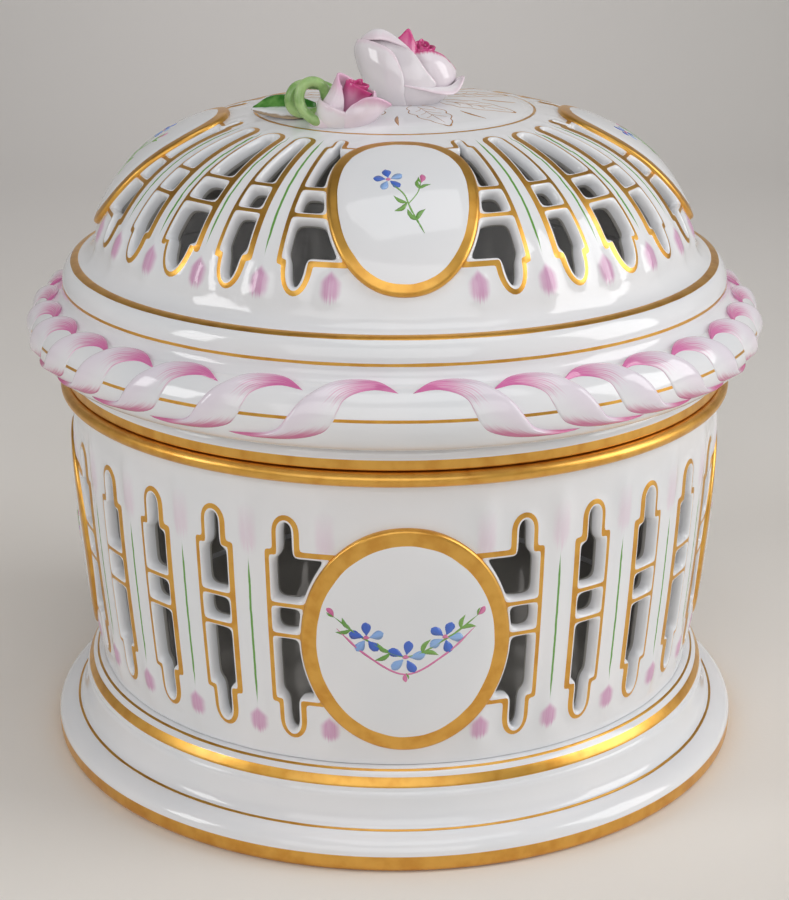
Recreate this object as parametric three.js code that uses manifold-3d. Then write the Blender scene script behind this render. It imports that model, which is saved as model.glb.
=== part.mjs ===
// Openwork porcelain biscuit box: a pierced drum on a moulded foot, and a pierced domed lid with a rose knob.
// Millimetres, +Z up. The origin is the centre of the foot's underside, and the front medallions face -Y.
import * as THREE from "three";
import { mergeVertices } from "three/addons/utils/BufferGeometryUtils.js";
import Module from "manifold-3d";

const wasm = await Module();
wasm.setup();

const DEGREE = Math.PI / 180;

// Fineness of the facets
const ROUND_FACETS = 36;
const FLOWER_FACETS = 12;
const ROLL_FACETS = 8;
const CAP_FACETS = 2;
const OVAL_FACETS = 16;
const MOULDING_FACETS = 2; // along a small roll or cove
const SHOULDER_FACETS = 4;
const BEAD_FACETS = 4;
const TWIG_FACETS = { along: 14, around: 6 };
// Where a wall's profile has a corner, as shares of its height or arc
const DRUM_STATIONS = { outside: [0, 0.3, 0.65, 1], inside: [1, 0.45, 0] };
const DOME_STATIONS = { outside: [0, 0.2, 0.42, 0.66, 1], inside: [1, 0.6, 0.3, 0] };
const ROOT_STEPS = 40; // halvings when a radius is looked up on the dome's curve

// Clearances
const LUTING_GAP = 0.3; // slip joint between two pieces that are luted together
const LID_PLAY = 0.6; // radial play of the lid's flange inside the box's mouth

// The box, from the table up
const FOOT_SPREAD = 12.2; // how far the foot stands out from the wall's lower edge
const FOOT_HEIGHT = 21; // table to the lower edge of the wall
const FOOT_BEVEL = 0.8;
const FOOT_EDGE_HEIGHT = 4;
const FOOT_ROLL = { width: 5.2, rise: 3.9 }; // rounded step above the upright edge
const FOOT_COVE = { width: 2.5, rise: 7.8 };
const FOOT_MOULDING = { width: 0.4, rise: 1.6 }; // steep face of the moulding under the wall
const FOOT_SHELF = 1.2; // ledge left round the wall's lower edge
const STANDING_WIDTH = 8; // width of the flat ring that the box stands on
const FLOOR_RISE = 15.5; // table to the underside of the floor
const FLOOR_THICKNESS = 4;
const LEDGE_WIDTH = 4; // ledge of the foot that carries the floor's edge
const LEDGE_THICKNESS = 4;
const WALL_FOOT_RADIUS = 75.3;
const WALL_TOP_RADIUS = 79.8;
const WALL_HEIGHT = 69.2;
const WALL_THICKNESS = 3.7;
const RIM_HEIGHT = 3.6;
const RIM_OVERHANG = 1; // how far the straight part of the rim stands out from the wall's top
const BEAD_RELIEF = 1.8; // half-round gilt bead of the rim

// The lid, from its seat up
const FLANGE_DEPTH = 5; // how far the locating flange drops into the box
const FLANGE_THICKNESS = 3;
const FLANGE_BEVEL = 1;
const LID_INSET = 1.8; // from the top of the box's wall in to the lid's plain wall
const BAND_RELIEF = 3; // how far the band stands out from the lid's plain wall
const BAND_HEIGHT = 5;
const LID_WALL_HEIGHT = 15.5; // plain wall behind the roll
const LID_WALL_THICKNESS = 3.7;
const ROLL_RADIUS = 7.3;
const ROLL_OUTSET = 3.7; // from the lid's plain wall out to the middle of the roll
const ROLL_RISE = 12.8; // lid's seat to the middle of the roll
const SHOULDER_RELIEF = 2.9; // how far the shoulder stands out from the lid's plain wall
const SHOULDER_ROUND = { width: 4.1, rise: 5.6 }; // from its broadest line in and up to the gilt ring
const SHOULDER_LIFT = 3; // from the top of the plain wall to that broadest line
const FLARE = { width: 4.2, rise: 5.6 }; // concave flare from the gilt ring to the dome's springing
const DOME_RISE = 30.65; // springing to crown
const DOME_THICKNESS = 3.5;
const DOME_SPRING_IN = 9.4; // handle at the springing: inwards
const DOME_SPRING_UP = 21.95; // and upwards
const DOME_CROWN_HANDLE = 47.1;
const PLATE_MARGIN = 4.2; // from the slots' upper ends to the crown plate
const PLATE_RELIEF = 0.5;

// The ribbon wound round the roll, mirrored left and right of the front
const RIBBON_TURNS = 16;
const RIBBON_PITCH = 10.9; // degrees from tip to tip
const RIBBON_START = 1.4; // degrees from the front to the first tip
const RIBBON_WIDTH = 8;
const RIBBON_RELIEF = 1;
const RIBBON_BURY = 1; // how deep its edges sink into the roll
const RIBBON_SWEEP = 17; // degrees that a turn travels round the ring
const RIBBON_BACK_GAP = 4; // degrees that the turns keep from the back's middle
const RIBBON_FLAT = 0.6; // share of its width that stands at full relief
// Stations along a turn of the ribbon: share of its sweep, degrees of rise on the roll, share of full width
const RIBBON_STATIONS = [
  { sweep: 0, rise: 52, width: 0.1 },
  { sweep: 0.4, rise: 55, width: 0.85 },
  { sweep: 0.72, rise: 15, width: 1 },
  { sweep: 1, rise: -32, width: 0.35 },
];

// The piercing: slots with two crossbars, five between each pair of medallions
const QUARTERS = 4;
const SLOTS_PER_QUARTER = 5;
const SLOT_PITCH = 12.9; // degrees
const CUT_BEYOND = 2; // how far a cutter passes the faces that it cuts
const SLOT_EDGE = 1.65; // from a slot's gilt outline to its opening
const BAR_HALF = 1; // half the width of a crossbar
const MEDALLION_EDGE = 0.6; // rim of wall that shows round a medallion beside a slot
const MEDALLION_REACH = 6; // degrees that a slot beside a medallion spreads towards it, up to that rim

// Heights in a slot are measured up the wall from its lower edge. half and middleHalf are half its width in
// degrees, and lowEnd and highEnd half the width of its opening's narrow ends in millimetres.
const BOX_SLOT = { bottom: 5.4, lowShoulder: 14.5, lowBar: 31.9, highBar: 39.4, highShoulder: 52.5, top: 61,
  half: 3.55, middleHalf: 3.55, lowEnd: 1.8, highEnd: 1.8 };
const LID_SLOT = { bottom: 0.7, lowShoulder: 7.5, lowBar: 18.9, highBar: 26.2, highShoulder: 40.5, top: 46.3,
  half: 3.9, middleHalf: 5.1, lowEnd: 1.9, highEnd: 1.2 };
const BOX_OVAL = { middle: 31.85, halfWidth: 23.4, halfHeight: 27.65 };
const LID_OVAL = { middle: 23.05, halfWidth: 16.6, halfHeight: 21.8 };
const OVAL_FRAME = 3.8; // width of a medallion's gilt frame
const OVAL_RELIEF = 1;
const OVAL_CROWN = 0.5; // how much the painted field swells above the frame
const FIELD_RINGS = [[1, 0], [0.6, 0.7], [0.3, 1]]; // shares of the field's width and of its swell
const BACK_RINGS = [1, 0.66, 0.33]; // shares of the tile's width

// The knob: a rose, a bud, a looped twig and a leaf on the crown plate
// Whorls are counted from the heart out. Each is broader and lower than the one inside it, by spread and
// drop, and its petals' lips turn out further, by lipSpread.
const ROSE = { x: 3.5, y: -3, lean: 14, turn: 90, whorls: 3, firstPetal: 20, heart: 2.6, petal: 0.9,
  radius: 5, spread: 2.8, height: 13.4, drop: 2, lip: 0, lipSpread: 1.1 };
const BUD = { x: -10, y: -22.5, lean: 24, turn: 60, whorls: 1, firstPetal: 200, heart: 2.3, petal: 0.9,
  radius: 5.2, spread: 0, height: 10.5, drop: 0, lip: 2.4, lipSpread: 0 };
const PETALS_PER_WHORL = 3;
const PETAL_SPAN = 108; // degrees round the flower
const WHORL_TURN = 60; // degrees from one whorl's petals to the next one's
const PETAL_STEPS = 3;
const FLOWER_BASE_HEIGHT = 1.2;
const FLOWER_BASE_LIP = 0.4;
const TWIG = { x: -20.5, y: -20.5, radius: 1.7, loop: 4.6, from: -80, to: 250, bends: 10, splay: 6.6 };
const LEAF = { x: -26.7, y: -10.3, turn: -23, length: 17, width: 8, thickness: 1.2, arch: 2, crease: 0.8,
  bends: 6, pitch: 8 }; // pitch is how steeply it falls towards its tip
const LEAF_LIFT = 0.8; // how far the leaf's underside clears the crown plate

// Shapes given as shares of a flower's own size
const PETAL_FOOT = 0.45; // radius where a petal springs from the base
const PETAL_SWELL = 0.72;
const PETAL_BULGE = 0.6; // half turns that the swell's sine wave makes from foot to lip
const PETAL_DROOP = 0.22; // how much lower a petal's corners are than its tip
const PETAL_CURL = 0.4; // how much less its corners flare
const HEART_PROFILE = [[0.35, 0], [1, 0.55], [0.75, 0.85]]; // radius and height
const LEAF_TIP = 0.06; // width of the leaf's blunt ends, of its full width
const LEAF_FORWARD = 0.8; // power under 1, which brings its broadest part towards its tip

// Heights that follow from the sizes above
const wallBase = FOOT_HEIGHT;
const rimBase = wallBase + WALL_HEIGHT;
const beadHeight = rimBase + RIM_HEIGHT / 2;
const lidSeat = rimBase + RIM_HEIGHT;
const rollHeight = lidSeat + ROLL_RISE;
const shoulderBase = lidSeat + BAND_HEIGHT + LID_WALL_HEIGHT;
const broadHeight = shoulderBase + SHOULDER_LIFT;
const ringHeight = broadHeight + SHOULDER_ROUND.rise;
const springing = ringHeight + FLARE.rise;

// Radii that follow from them
const footRadius = WALL_FOOT_RADIUS + FOOT_SPREAD;
const ledgeRadius = WALL_FOOT_RADIUS - WALL_THICKNESS;
const mouthRadius = WALL_TOP_RADIUS - WALL_THICKNESS;
const flangeRadius = mouthRadius - LID_PLAY;
const lidWallRadius = WALL_TOP_RADIUS - LID_INSET;
const rollCentreRadius = lidWallRadius + ROLL_OUTSET;
const ringRadius = lidWallRadius + SHOULDER_RELIEF - SHOULDER_ROUND.width; // gilt ring under the dome
const domeRadius = ringRadius - FLARE.width;

const porcelain = { color: 0xf1f0f2, roughness: 0.12, metalness: 0 };
const gilding = { color: 0xb98a3a, roughness: 0.3, metalness: 0.9 };
const ribbonPink = { color: 0xe3bdd4, roughness: 0.15, metalness: 0 };
const petalPink = { color: 0xecdde4, roughness: 0.14, metalness: 0 };
const deepPink = { color: 0xc2427e, roughness: 0.14, metalness: 0 };
const leafGreen = { color: 0x7fae5c, roughness: 0.15, metalness: 0 };

const box = new THREE.Group();
const lid = new THREE.Group();

function addPiece(group, name, geometry, finish) {
  const mesh = new THREE.Mesh(geometry, new THREE.MeshStandardMaterial(finish));
  mesh.name = name;
  group.add(mesh);
  return mesh;
}

// Booleans

function solidFrom(geometry) {
  const bare = geometry.clone();
  bare.deleteAttribute("normal");
  bare.deleteAttribute("uv");
  const merged = mergeVertices(bare, 1e-4);
  const corners = merged.index.array;
  const triangles = [];
  for (let i = 0; i < corners.length; i += 3) {
    const [a, b, c] = corners.slice(i, i + 3);
    if (a !== b && b !== c && c !== a) triangles.push(a, b, c);
  }
  const vertProperties = new Float32Array(merged.attributes.position.array);
  const triVerts = new Uint32Array(triangles);
  return new wasm.Manifold(new wasm.Mesh({ numProp: 3, vertProperties, triVerts }));
}

function geometryFrom(solid) {
  const mesh = solid.getMesh();
  const geometry = new THREE.BufferGeometry();
  geometry.setAttribute("position", new THREE.BufferAttribute(mesh.vertProperties, 3));
  geometry.setIndex(new THREE.BufferAttribute(mesh.triVerts, 1));
  geometry.computeVertexNormals();
  return geometry;
}

// Turned rings: a closed outline of [radius, height] points, anticlockwise, spun about Z

function turned(outline, facets = ROUND_FACETS) {
  const points = outline.map(([radius, height]) => new THREE.Vector2(radius, height));
  if (points[0].x > 0) points.push(points[0].clone());
  return new THREE.LatheGeometry(points, facets).rotateX(Math.PI / 2);
}

// Points along an ellipse's arc, so wide and so high from its centre
function arcPoints([centreRadius, centreHeight], [width, rise], fromDegrees, toDegrees, steps) {
  return Array.from({ length: steps + 1 }, (_, i) => {
    const angle = (fromDegrees + ((toDegrees - fromDegrees) * i) / steps) * DEGREE;
    return [centreRadius + width * Math.cos(angle), centreHeight + rise * Math.sin(angle)];
  });
}

// Walls that carry slots and medallions. place() gives the point at so many degrees round the wall,
// so many millimetres up it, and so far out of its face.

function spun(radius, height, degrees) {
  const angle = degrees * DEGREE;
  return new THREE.Vector3(radius * Math.sin(angle), -radius * Math.cos(angle), height);
}

function drumRadius(up) {
  const flare = Math.sin((Math.PI / 2) * (up / WALL_HEIGHT));
  return WALL_FOOT_RADIUS + (WALL_TOP_RADIUS - WALL_FOOT_RADIUS) * flare;
}

const drum = {
  thickness: WALL_THICKNESS,
  radiusAt: drumRadius,
  place: (degrees, up, out) => spun(drumRadius(up) + out, wallBase + up, degrees),
};

const domeCurve = new THREE.CubicBezierCurve(
  new THREE.Vector2(domeRadius, springing),
  new THREE.Vector2(domeRadius - DOME_SPRING_IN, springing + DOME_SPRING_UP),
  new THREE.Vector2(DOME_CROWN_HANDLE, springing + DOME_RISE),
  new THREE.Vector2(0, springing + DOME_RISE),
);
const domeArc = domeCurve.getLength();

// The dome's profile point at a share of its arc, moved out along the normal
function domePoint(share, out) {
  const point = domeCurve.getPointAt(share);
  const along = domeCurve.getTangentAt(share);
  return [point.x + out * along.y, point.y - out * along.x];
}

const dome = {
  thickness: DOME_THICKNESS,
  radiusAt: (up) => domePoint(up / domeArc, 0)[0],
  place: (degrees, up, out) => spun(...domePoint(up / domeArc, out), degrees),
};

// The share of the dome's arc at which its profile reaches a radius
function domeShareAt(radius) {
  let low = 0;
  let high = 1;
  for (let i = 0; i < ROOT_STEPS; i++) {
    const middle = (low + high) / 2;
    if (domePoint(middle, 0)[0] > radius) low = middle;
    else high = middle;
  }
  return low;
}

function domeHeightAt(radius) {
  return domePoint(domeShareAt(radius), 0)[1];
}

// A closed solid between two copies of an outline laid on a wall, one outside and one inside it
function throughCut(wall, outline) {
  const contour = outline.map(([degrees, up]) => new THREE.Vector2(degrees, up));
  if (THREE.ShapeUtils.area(contour) < 0) contour.reverse();
  const count = contour.length;
  const outer = contour.map((p) => wall.place(p.x, p.y, CUT_BEYOND));
  const inner = contour.map((p) => wall.place(p.x, p.y, -wall.thickness - CUT_BEYOND));
  const faces = [];
  for (const [a, b, c] of THREE.ShapeUtils.triangulateShape(contour, [])) {
    faces.push(a, b, c, count + c, count + b, count + a);
  }
  for (let i = 0; i < count; i++) {
    const next = (i + 1) % count;
    faces.push(i, count + i, count + next, i, count + next, next);
  }
  return solidFrom(meshOf([...outer, ...inner], faces));
}

function meshOf(points, faces) {
  const geometry = new THREE.BufferGeometry().setFromPoints(points);
  geometry.setIndex(faces);
  return geometry;
}

// Slots

// Half the width of a slot's opening, in degrees, where its gilt outline is half degrees from its middle
function openingHalf(wall, half, up) {
  return half - SLOT_EDGE / wall.radiusAt(up) / DEGREE;
}

// The long window from a crossbar, past a shoulder, to a rounded end. reach is how far it spreads on each
// side beyond the slot's usual width, in degrees.
function longWindow(wall, middle, half, reach, { bar, shoulder, end, endRadius }) {
  const way = Math.sign(end - bar);
  const barEdge = bar + way * BAR_HALF;
  const broadEnd = shoulder - way * SLOT_EDGE;
  const endHalf = endRadius / wall.radiusAt(end) / DEGREE;
  const capBase = end - way * (SLOT_EDGE + endRadius);
  const side = (extra) => [
    [openingHalf(wall, half, barEdge) + extra, barEdge],
    [openingHalf(wall, half, broadEnd) + extra, broadEnd],
    [endHalf, shoulder],
  ];
  const cap = [];
  for (let i = 0; i <= CAP_FACETS; i++) {
    const angle = (Math.PI * i) / CAP_FACETS;
    cap.push([endHalf * Math.cos(angle), capBase + way * endRadius * Math.sin(angle)]);
  }
  const otherSide = side(reach.before).map(([across, up]) => [-across, up]).reverse();
  return [...side(reach.after), ...cap, ...otherSide].map(([across, up]) => [middle + across, up]);
}

function squareWindow(wall, slot, middle, half, reach) {
  const low = slot.lowBar + BAR_HALF;
  const high = slot.highBar - BAR_HALF;
  return [
    [middle - openingHalf(wall, half, low) - reach.before, low],
    [middle + openingHalf(wall, half, low) + reach.after, low],
    [middle + openingHalf(wall, half, high) + reach.after, high],
    [middle - openingHalf(wall, half, high) - reach.before, high],
  ];
}

function ovalOutline(wall, oval, quarter, beyond) {
  return Array.from({ length: OVAL_FACETS }, (_, i) => {
    const angle = (2 * Math.PI * i) / OVAL_FACETS;
    const up = oval.middle + (oval.halfHeight + beyond) * Math.sin(angle);
    const across = (oval.halfWidth + beyond) * Math.cos(angle);
    return [quarter * 90 + across / wall.radiusAt(up) / DEGREE, up];
  });
}

function backing(wall, oval, quarter) {
  return throughCut(wall, ovalOutline(wall, oval, quarter, MEDALLION_EDGE));
}

function piercedWall(blank, wall, slot, oval) {
  let solid = solidFrom(blank);
  for (let quarter = 0; quarter < QUARTERS; quarter++) {
    const backings = [backing(wall, oval, quarter), backing(wall, oval, quarter + 1)];
    for (let i = 0; i < SLOTS_PER_QUARTER; i++) {
      const fromMiddle = i - (SLOTS_PER_QUARTER - 1) / 2;
      const middle = quarter * 90 + 45 + fromMiddle * SLOT_PITCH;
      const half = fromMiddle === 0 ? slot.middleHalf : slot.half;
      const broader = half / slot.half;
      const reach = {
        before: i === 0 ? MEDALLION_REACH : 0,
        after: i === SLOTS_PER_QUARTER - 1 ? MEDALLION_REACH : 0,
      };
      const lowPart = { bar: slot.lowBar, shoulder: slot.lowShoulder, end: slot.bottom };
      const highPart = { bar: slot.highBar, shoulder: slot.highShoulder, end: slot.top };
      const outlines = [
        longWindow(wall, middle, half, reach, { ...lowPart, endRadius: broader * slot.lowEnd }),
        squareWindow(wall, slot, middle, half, reach),
        longWindow(wall, middle, half, reach, { ...highPart, endRadius: broader * slot.highEnd }),
      ];
      for (const outline of outlines) {
        let cut = throughCut(wall, outline);
        for (const kept of backings) cut = cut.subtract(kept);
        solid = solid.subtract(cut);
      }
    }
  }
  return geometryFrom(solid);
}

// A medallion: an oval tile that follows the wall, with a flat frame and a swelling field
function medallion(wall, oval, quarter) {
  const fieldShare = 1 - OVAL_FRAME / oval.halfWidth;
  const fieldRing = ([share, swell]) => [share * fieldShare, OVAL_RELIEF + swell * OVAL_CROWN];
  const faceRings = [[1, OVAL_RELIEF], ...FIELD_RINGS.map(fieldRing)];
  const backRings = BACK_RINGS.map((share) => [share, 0]);
  const points = [];
  const ringPoints = (share, out) => {
    for (let i = 0; i < OVAL_FACETS; i++) {
      const angle = (2 * Math.PI * i) / OVAL_FACETS;
      const up = oval.middle + share * oval.halfHeight * Math.sin(angle);
      const across = (share * oval.halfWidth * Math.cos(angle)) / wall.radiusAt(up) / DEGREE;
      points.push(wall.place(quarter * 90 + across, up, out));
    }
  };
  for (const [share, out] of [...faceRings, ...backRings]) ringPoints(share, LUTING_GAP + out);
  const middleAt = (out) => points.push(wall.place(quarter * 90, oval.middle, LUTING_GAP + out)) - 1;
  const faceMiddle = middleAt(OVAL_RELIEF + OVAL_CROWN);
  const backMiddle = middleAt(0);
  const faces = [];
  const backStart = faceRings.length * OVAL_FACETS;
  const strip = (outer, inner) => {
    for (let i = 0; i < OVAL_FACETS; i++) {
      const next = (i + 1) % OVAL_FACETS;
      faces.push(outer + i, outer + next, inner + next, outer + i, inner + next, inner + i);
    }
  };
  const lastFace = backStart - OVAL_FACETS;
  const lastBack = backStart + (backRings.length - 1) * OVAL_FACETS;
  for (let ring = 0; ring < lastFace; ring += OVAL_FACETS) strip(ring, ring + OVAL_FACETS);
  for (let ring = backStart; ring < lastBack; ring += OVAL_FACETS) strip(ring + OVAL_FACETS, ring);
  strip(backStart, 0);
  for (let i = 0; i < OVAL_FACETS; i++) {
    const next = (i + 1) % OVAL_FACETS;
    faces.push(lastFace + i, lastFace + next, faceMiddle);
    faces.push(lastBack + next, lastBack + i, backMiddle);
  }
  return meshOf(points, faces);
}

const SIDES = ["front", "right", "back", "left"];

// The box

function footGeometry() {
  const rollTop = FOOT_EDGE_HEIGHT + FOOT_ROLL.rise;
  const rollInner = footRadius - FOOT_ROLL.width;
  const coveTop = rollTop + FOOT_COVE.rise;
  const coveInner = rollInner - FOOT_COVE.width;
  return turned([
    [footRadius - STANDING_WIDTH, 0],
    [footRadius - FOOT_BEVEL, 0],
    [footRadius, FOOT_BEVEL],
    ...arcPoints([rollInner, FOOT_EDGE_HEIGHT], [FOOT_ROLL.width, FOOT_ROLL.rise], 0, 90, MOULDING_FACETS),
    ...arcPoints([rollInner, coveTop], [FOOT_COVE.width, FOOT_COVE.rise], 270, 180, MOULDING_FACETS).slice(1),
    [coveInner - FOOT_MOULDING.width, coveTop + FOOT_MOULDING.rise],
    [WALL_FOOT_RADIUS + FOOT_SHELF, FOOT_HEIGHT],
    [ledgeRadius, FOOT_HEIGHT],
    [ledgeRadius, FLOOR_RISE],
    [ledgeRadius - LEDGE_WIDTH, FLOOR_RISE],
    [ledgeRadius - LEDGE_WIDTH, FLOOR_RISE - LEDGE_THICKNESS],
    [footRadius - STANDING_WIDTH, FOOT_EDGE_HEIGHT],
  ]);
}

function drumBlank() {
  const profile = (shares, out) =>
    shares.map((share) => [drumRadius(share * WALL_HEIGHT) + out, wallBase + share * WALL_HEIGHT]);
  return turned([...profile(DRUM_STATIONS.outside, 0), ...profile(DRUM_STATIONS.inside, -WALL_THICKNESS)]);
}

function floorGeometry() {
  const radius = ledgeRadius - LUTING_GAP;
  const top = FLOOR_RISE + FLOOR_THICKNESS;
  return turned([[0, FLOOR_RISE], [radius, FLOOR_RISE], [radius, top], [0, top]]);
}

addPiece(box, "box_foot", footGeometry(), porcelain);
addPiece(box, "box_floor", floorGeometry(), porcelain);
addPiece(box, "box_wall", piercedWall(drumBlank(), drum, BOX_SLOT, BOX_OVAL), porcelain);
const beadCentre = [WALL_TOP_RADIUS + RIM_OVERHANG, beadHeight];
addPiece(
  box,
  "box_rim",
  turned([
    [mouthRadius, rimBase],
    ...arcPoints(beadCentre, [BEAD_RELIEF, RIM_HEIGHT / 2], -90, 90, BEAD_FACETS),
    [mouthRadius, lidSeat],
  ]),
  gilding,
);
SIDES.forEach((side, quarter) => {
  addPiece(box, "box_medallion_" + side, medallion(drum, BOX_OVAL, quarter), porcelain);
});

// The lid

const flangeBottom = lidSeat - FLANGE_DEPTH;
addPiece(
  lid,
  "lid_flange",
  turned([
    [flangeRadius - FLANGE_THICKNESS, flangeBottom],
    [flangeRadius - FLANGE_BEVEL, flangeBottom],
    [flangeRadius, flangeBottom + FLANGE_BEVEL],
    [flangeRadius, lidSeat],
    [flangeRadius - FLANGE_THICKNESS, lidSeat],
  ]),
  porcelain,
);
addPiece(
  lid,
  "lid_band",
  turned([
    [flangeRadius - FLANGE_THICKNESS, lidSeat],
    [lidWallRadius + BAND_RELIEF, lidSeat],
    [lidWallRadius + BAND_RELIEF, lidSeat + BAND_HEIGHT],
    [lidWallRadius, lidSeat + BAND_HEIGHT],
    [lidWallRadius, shoulderBase],
    [lidWallRadius - LID_WALL_THICKNESS, shoulderBase],
    [lidWallRadius - LID_WALL_THICKNESS, lidSeat + BAND_HEIGHT],
  ]),
  porcelain,
);

// A point on the roll: degrees round the lid, degrees up from the roll's outermost line, and out of its face
function rollPoint(degrees, rise, out) {
  const reach = ROLL_RADIUS + out;
  const radius = rollCentreRadius + reach * Math.cos(rise * DEGREE);
  return spun(radius, rollHeight + reach * Math.sin(rise * DEGREE), degrees);
}

// Corners of the ribbon's section: share of its half width, and out of the roll's face
const RIBBON_SECTION = [
  [-1, -RIBBON_BURY],
  [-RIBBON_FLAT, RIBBON_RELIEF],
  [RIBBON_FLAT, RIBBON_RELIEF],
  [1, -RIBBON_BURY],
];

function ribbonTurn(index, hand) {
  const tip = RIBBON_START + index * RIBBON_PITCH;
  const sweep = Math.min(RIBBON_SWEEP, 180 - RIBBON_BACK_GAP - tip);
  const middles = RIBBON_STATIONS.map((s) => new THREE.Vector2(tip + s.sweep * sweep, s.rise));
  const points = [];
  RIBBON_STATIONS.forEach((station, i) => {
    const before = middles[Math.max(i - 1, 0)];
    const after = middles[Math.min(i + 1, middles.length - 1)];
    const perDegree = (rollCentreRadius + ROLL_RADIUS * Math.cos(station.rise * DEGREE)) * DEGREE;
    const perRise = ROLL_RADIUS * DEGREE;
    const travel = after.clone().sub(before);
    const along = travel.multiply(new THREE.Vector2(perDegree, perRise)).normalize();
    const half = (station.width * RIBBON_WIDTH) / 2;
    for (const [share, out] of RIBBON_SECTION) {
      const degrees = middles[i].x - (along.y * share * half) / perDegree;
      const rise = middles[i].y + (along.x * share * half) / perRise;
      points.push(rollPoint(hand * degrees, rise, out));
    }
  });
  const faces = [];
  const quad = (a, b, c, d) => faces.push(...(hand > 0 ? [a, b, c, a, c, d] : [a, c, b, a, d, c]));
  for (let i = 0; i + 1 < RIBBON_STATIONS.length; i++) {
    for (let k = 0; k < 4; k++) {
      const next = (k + 1) % 4;
      quad(4 * i + k, 4 * i + 4 + k, 4 * i + 4 + next, 4 * i + next);
    }
  }
  const last = 4 * (RIBBON_STATIONS.length - 1);
  quad(0, 1, 2, 3);
  quad(last + 3, last + 2, last + 1, last);
  return solidFrom(meshOf(points, faces));
}

function rollWithRibbon() {
  const cut = Math.acos((lidWallRadius + LUTING_GAP - rollCentreRadius) / ROLL_RADIUS) / DEGREE;
  const centre = [rollCentreRadius, rollHeight];
  let solid = solidFrom(turned(arcPoints(centre, [ROLL_RADIUS, ROLL_RADIUS], -cut, cut, ROLL_FACETS)));
  for (let i = 0; i < RIBBON_TURNS; i++) {
    for (const hand of [1, -1]) solid = solid.add(ribbonTurn(i, hand));
  }
  return geometryFrom(solid);
}

addPiece(lid, "lid_roll", rollWithRibbon(), ribbonPink);

const shoulderInner = ringRadius - LID_WALL_THICKNESS;
const shoulderLow = -Math.asin(SHOULDER_LIFT / SHOULDER_ROUND.rise) / DEGREE;
const shoulderSize = [SHOULDER_ROUND.width, SHOULDER_ROUND.rise];
addPiece(
  lid,
  "lid_shoulder",
  turned([
    [lidWallRadius - LID_WALL_THICKNESS, shoulderBase],
    ...arcPoints([ringRadius, broadHeight], shoulderSize, shoulderLow, 90, SHOULDER_FACETS),
    [shoulderInner, ringHeight],
  ]),
  porcelain,
);

function domeBlank() {
  const plateShare = (LID_SLOT.top + PLATE_MARGIN - LUTING_GAP) / domeArc;
  const profile = (shares, out) => shares.map((share) => domePoint(share * plateShare, out));
  return turned([
    [shoulderInner, ringHeight],
    ...arcPoints([ringRadius, springing], [FLARE.width, FLARE.rise], 270, 180, MOULDING_FACETS).slice(0, -1),
    ...profile(DOME_STATIONS.outside, 0),
    ...profile(DOME_STATIONS.inside, -DOME_THICKNESS),
  ]);
}

addPiece(lid, "lid_dome", piercedWall(domeBlank(), dome, LID_SLOT, LID_OVAL), porcelain);
SIDES.forEach((side, quarter) => {
  addPiece(lid, "lid_medallion_" + side, medallion(dome, LID_OVAL, quarter), porcelain);
});

// The crown plate, let into the top of the dome
function platePoints(out) {
  const edgeShare = (LID_SLOT.top + PLATE_MARGIN) / domeArc;
  return [1, (1 + edgeShare) / 2, edgeShare].map((share) => domePoint(share, out));
}

const plate = turned([...platePoints(-DOME_THICKNESS), ...platePoints(PLATE_RELIEF).reverse()]);
addPiece(lid, "knob_plate", plate, porcelain);

// The knob

// The height at which a piece of the knob rests on the crown plate
function seatAt({ x, y }) {
  return domeHeightAt(Math.hypot(x, y)) + PLATE_RELIEF + LUTING_GAP;
}

// A petal: a cupped shell between two grids, narrow at its foot, swelling, then flaring at its rounded lip
function petal(flower, whorl, turn) {
  const points = [];
  for (const inwards of [0, flower.petal]) {
    for (let j = 0; j <= PETAL_STEPS; j++) {
      const up = j / PETAL_STEPS;
      for (let i = 0; i <= PETAL_STEPS; i++) {
        const across = (2 * i) / PETAL_STEPS - 1;
        const angle = (turn + (across * PETAL_SPAN) / 2) * DEGREE;
        const swell = PETAL_FOOT + PETAL_SWELL * Math.sin(PETAL_BULGE * Math.PI * up);
        const lip = whorl.lip * up ** 3 * (1 - PETAL_CURL * across ** 2);
        const radius = whorl.radius * swell + lip - inwards;
        const height = whorl.height * up * (1 - PETAL_DROOP * across ** 2 * up);
        points.push(new THREE.Vector3(radius * Math.cos(angle), radius * Math.sin(angle), height));
      }
    }
  }
  const row = PETAL_STEPS + 1;
  const layer = row * row;
  const faces = [];
  const quad = (a, b, c, d) => faces.push(a, b, c, a, c, d);
  for (let j = 0; j < PETAL_STEPS; j++) {
    for (let i = 0; i < PETAL_STEPS; i++) {
      const a = j * row + i;
      quad(a, a + 1, a + 1 + row, a + row);
      quad(layer + a, layer + a + row, layer + a + 1 + row, layer + a + 1);
    }
  }
  for (let i = 0; i < PETAL_STEPS; i++) {
    const top = PETAL_STEPS * row;
    quad(i, layer + i, layer + i + 1, i + 1);
    quad(top + i, top + i + 1, layer + top + i + 1, layer + top + i);
    quad(i * row, (i + 1) * row, layer + (i + 1) * row, layer + i * row);
    const edge = i * row + PETAL_STEPS;
    quad(edge, layer + edge, layer + edge + row, edge + row);
  }
  return meshOf(points, faces);
}

function whorlOf(flower, ring) {
  return {
    radius: flower.radius + ring * flower.spread,
    height: flower.height - ring * flower.drop,
    lip: flower.lip + ring * flower.lipSpread,
  };
}

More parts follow.
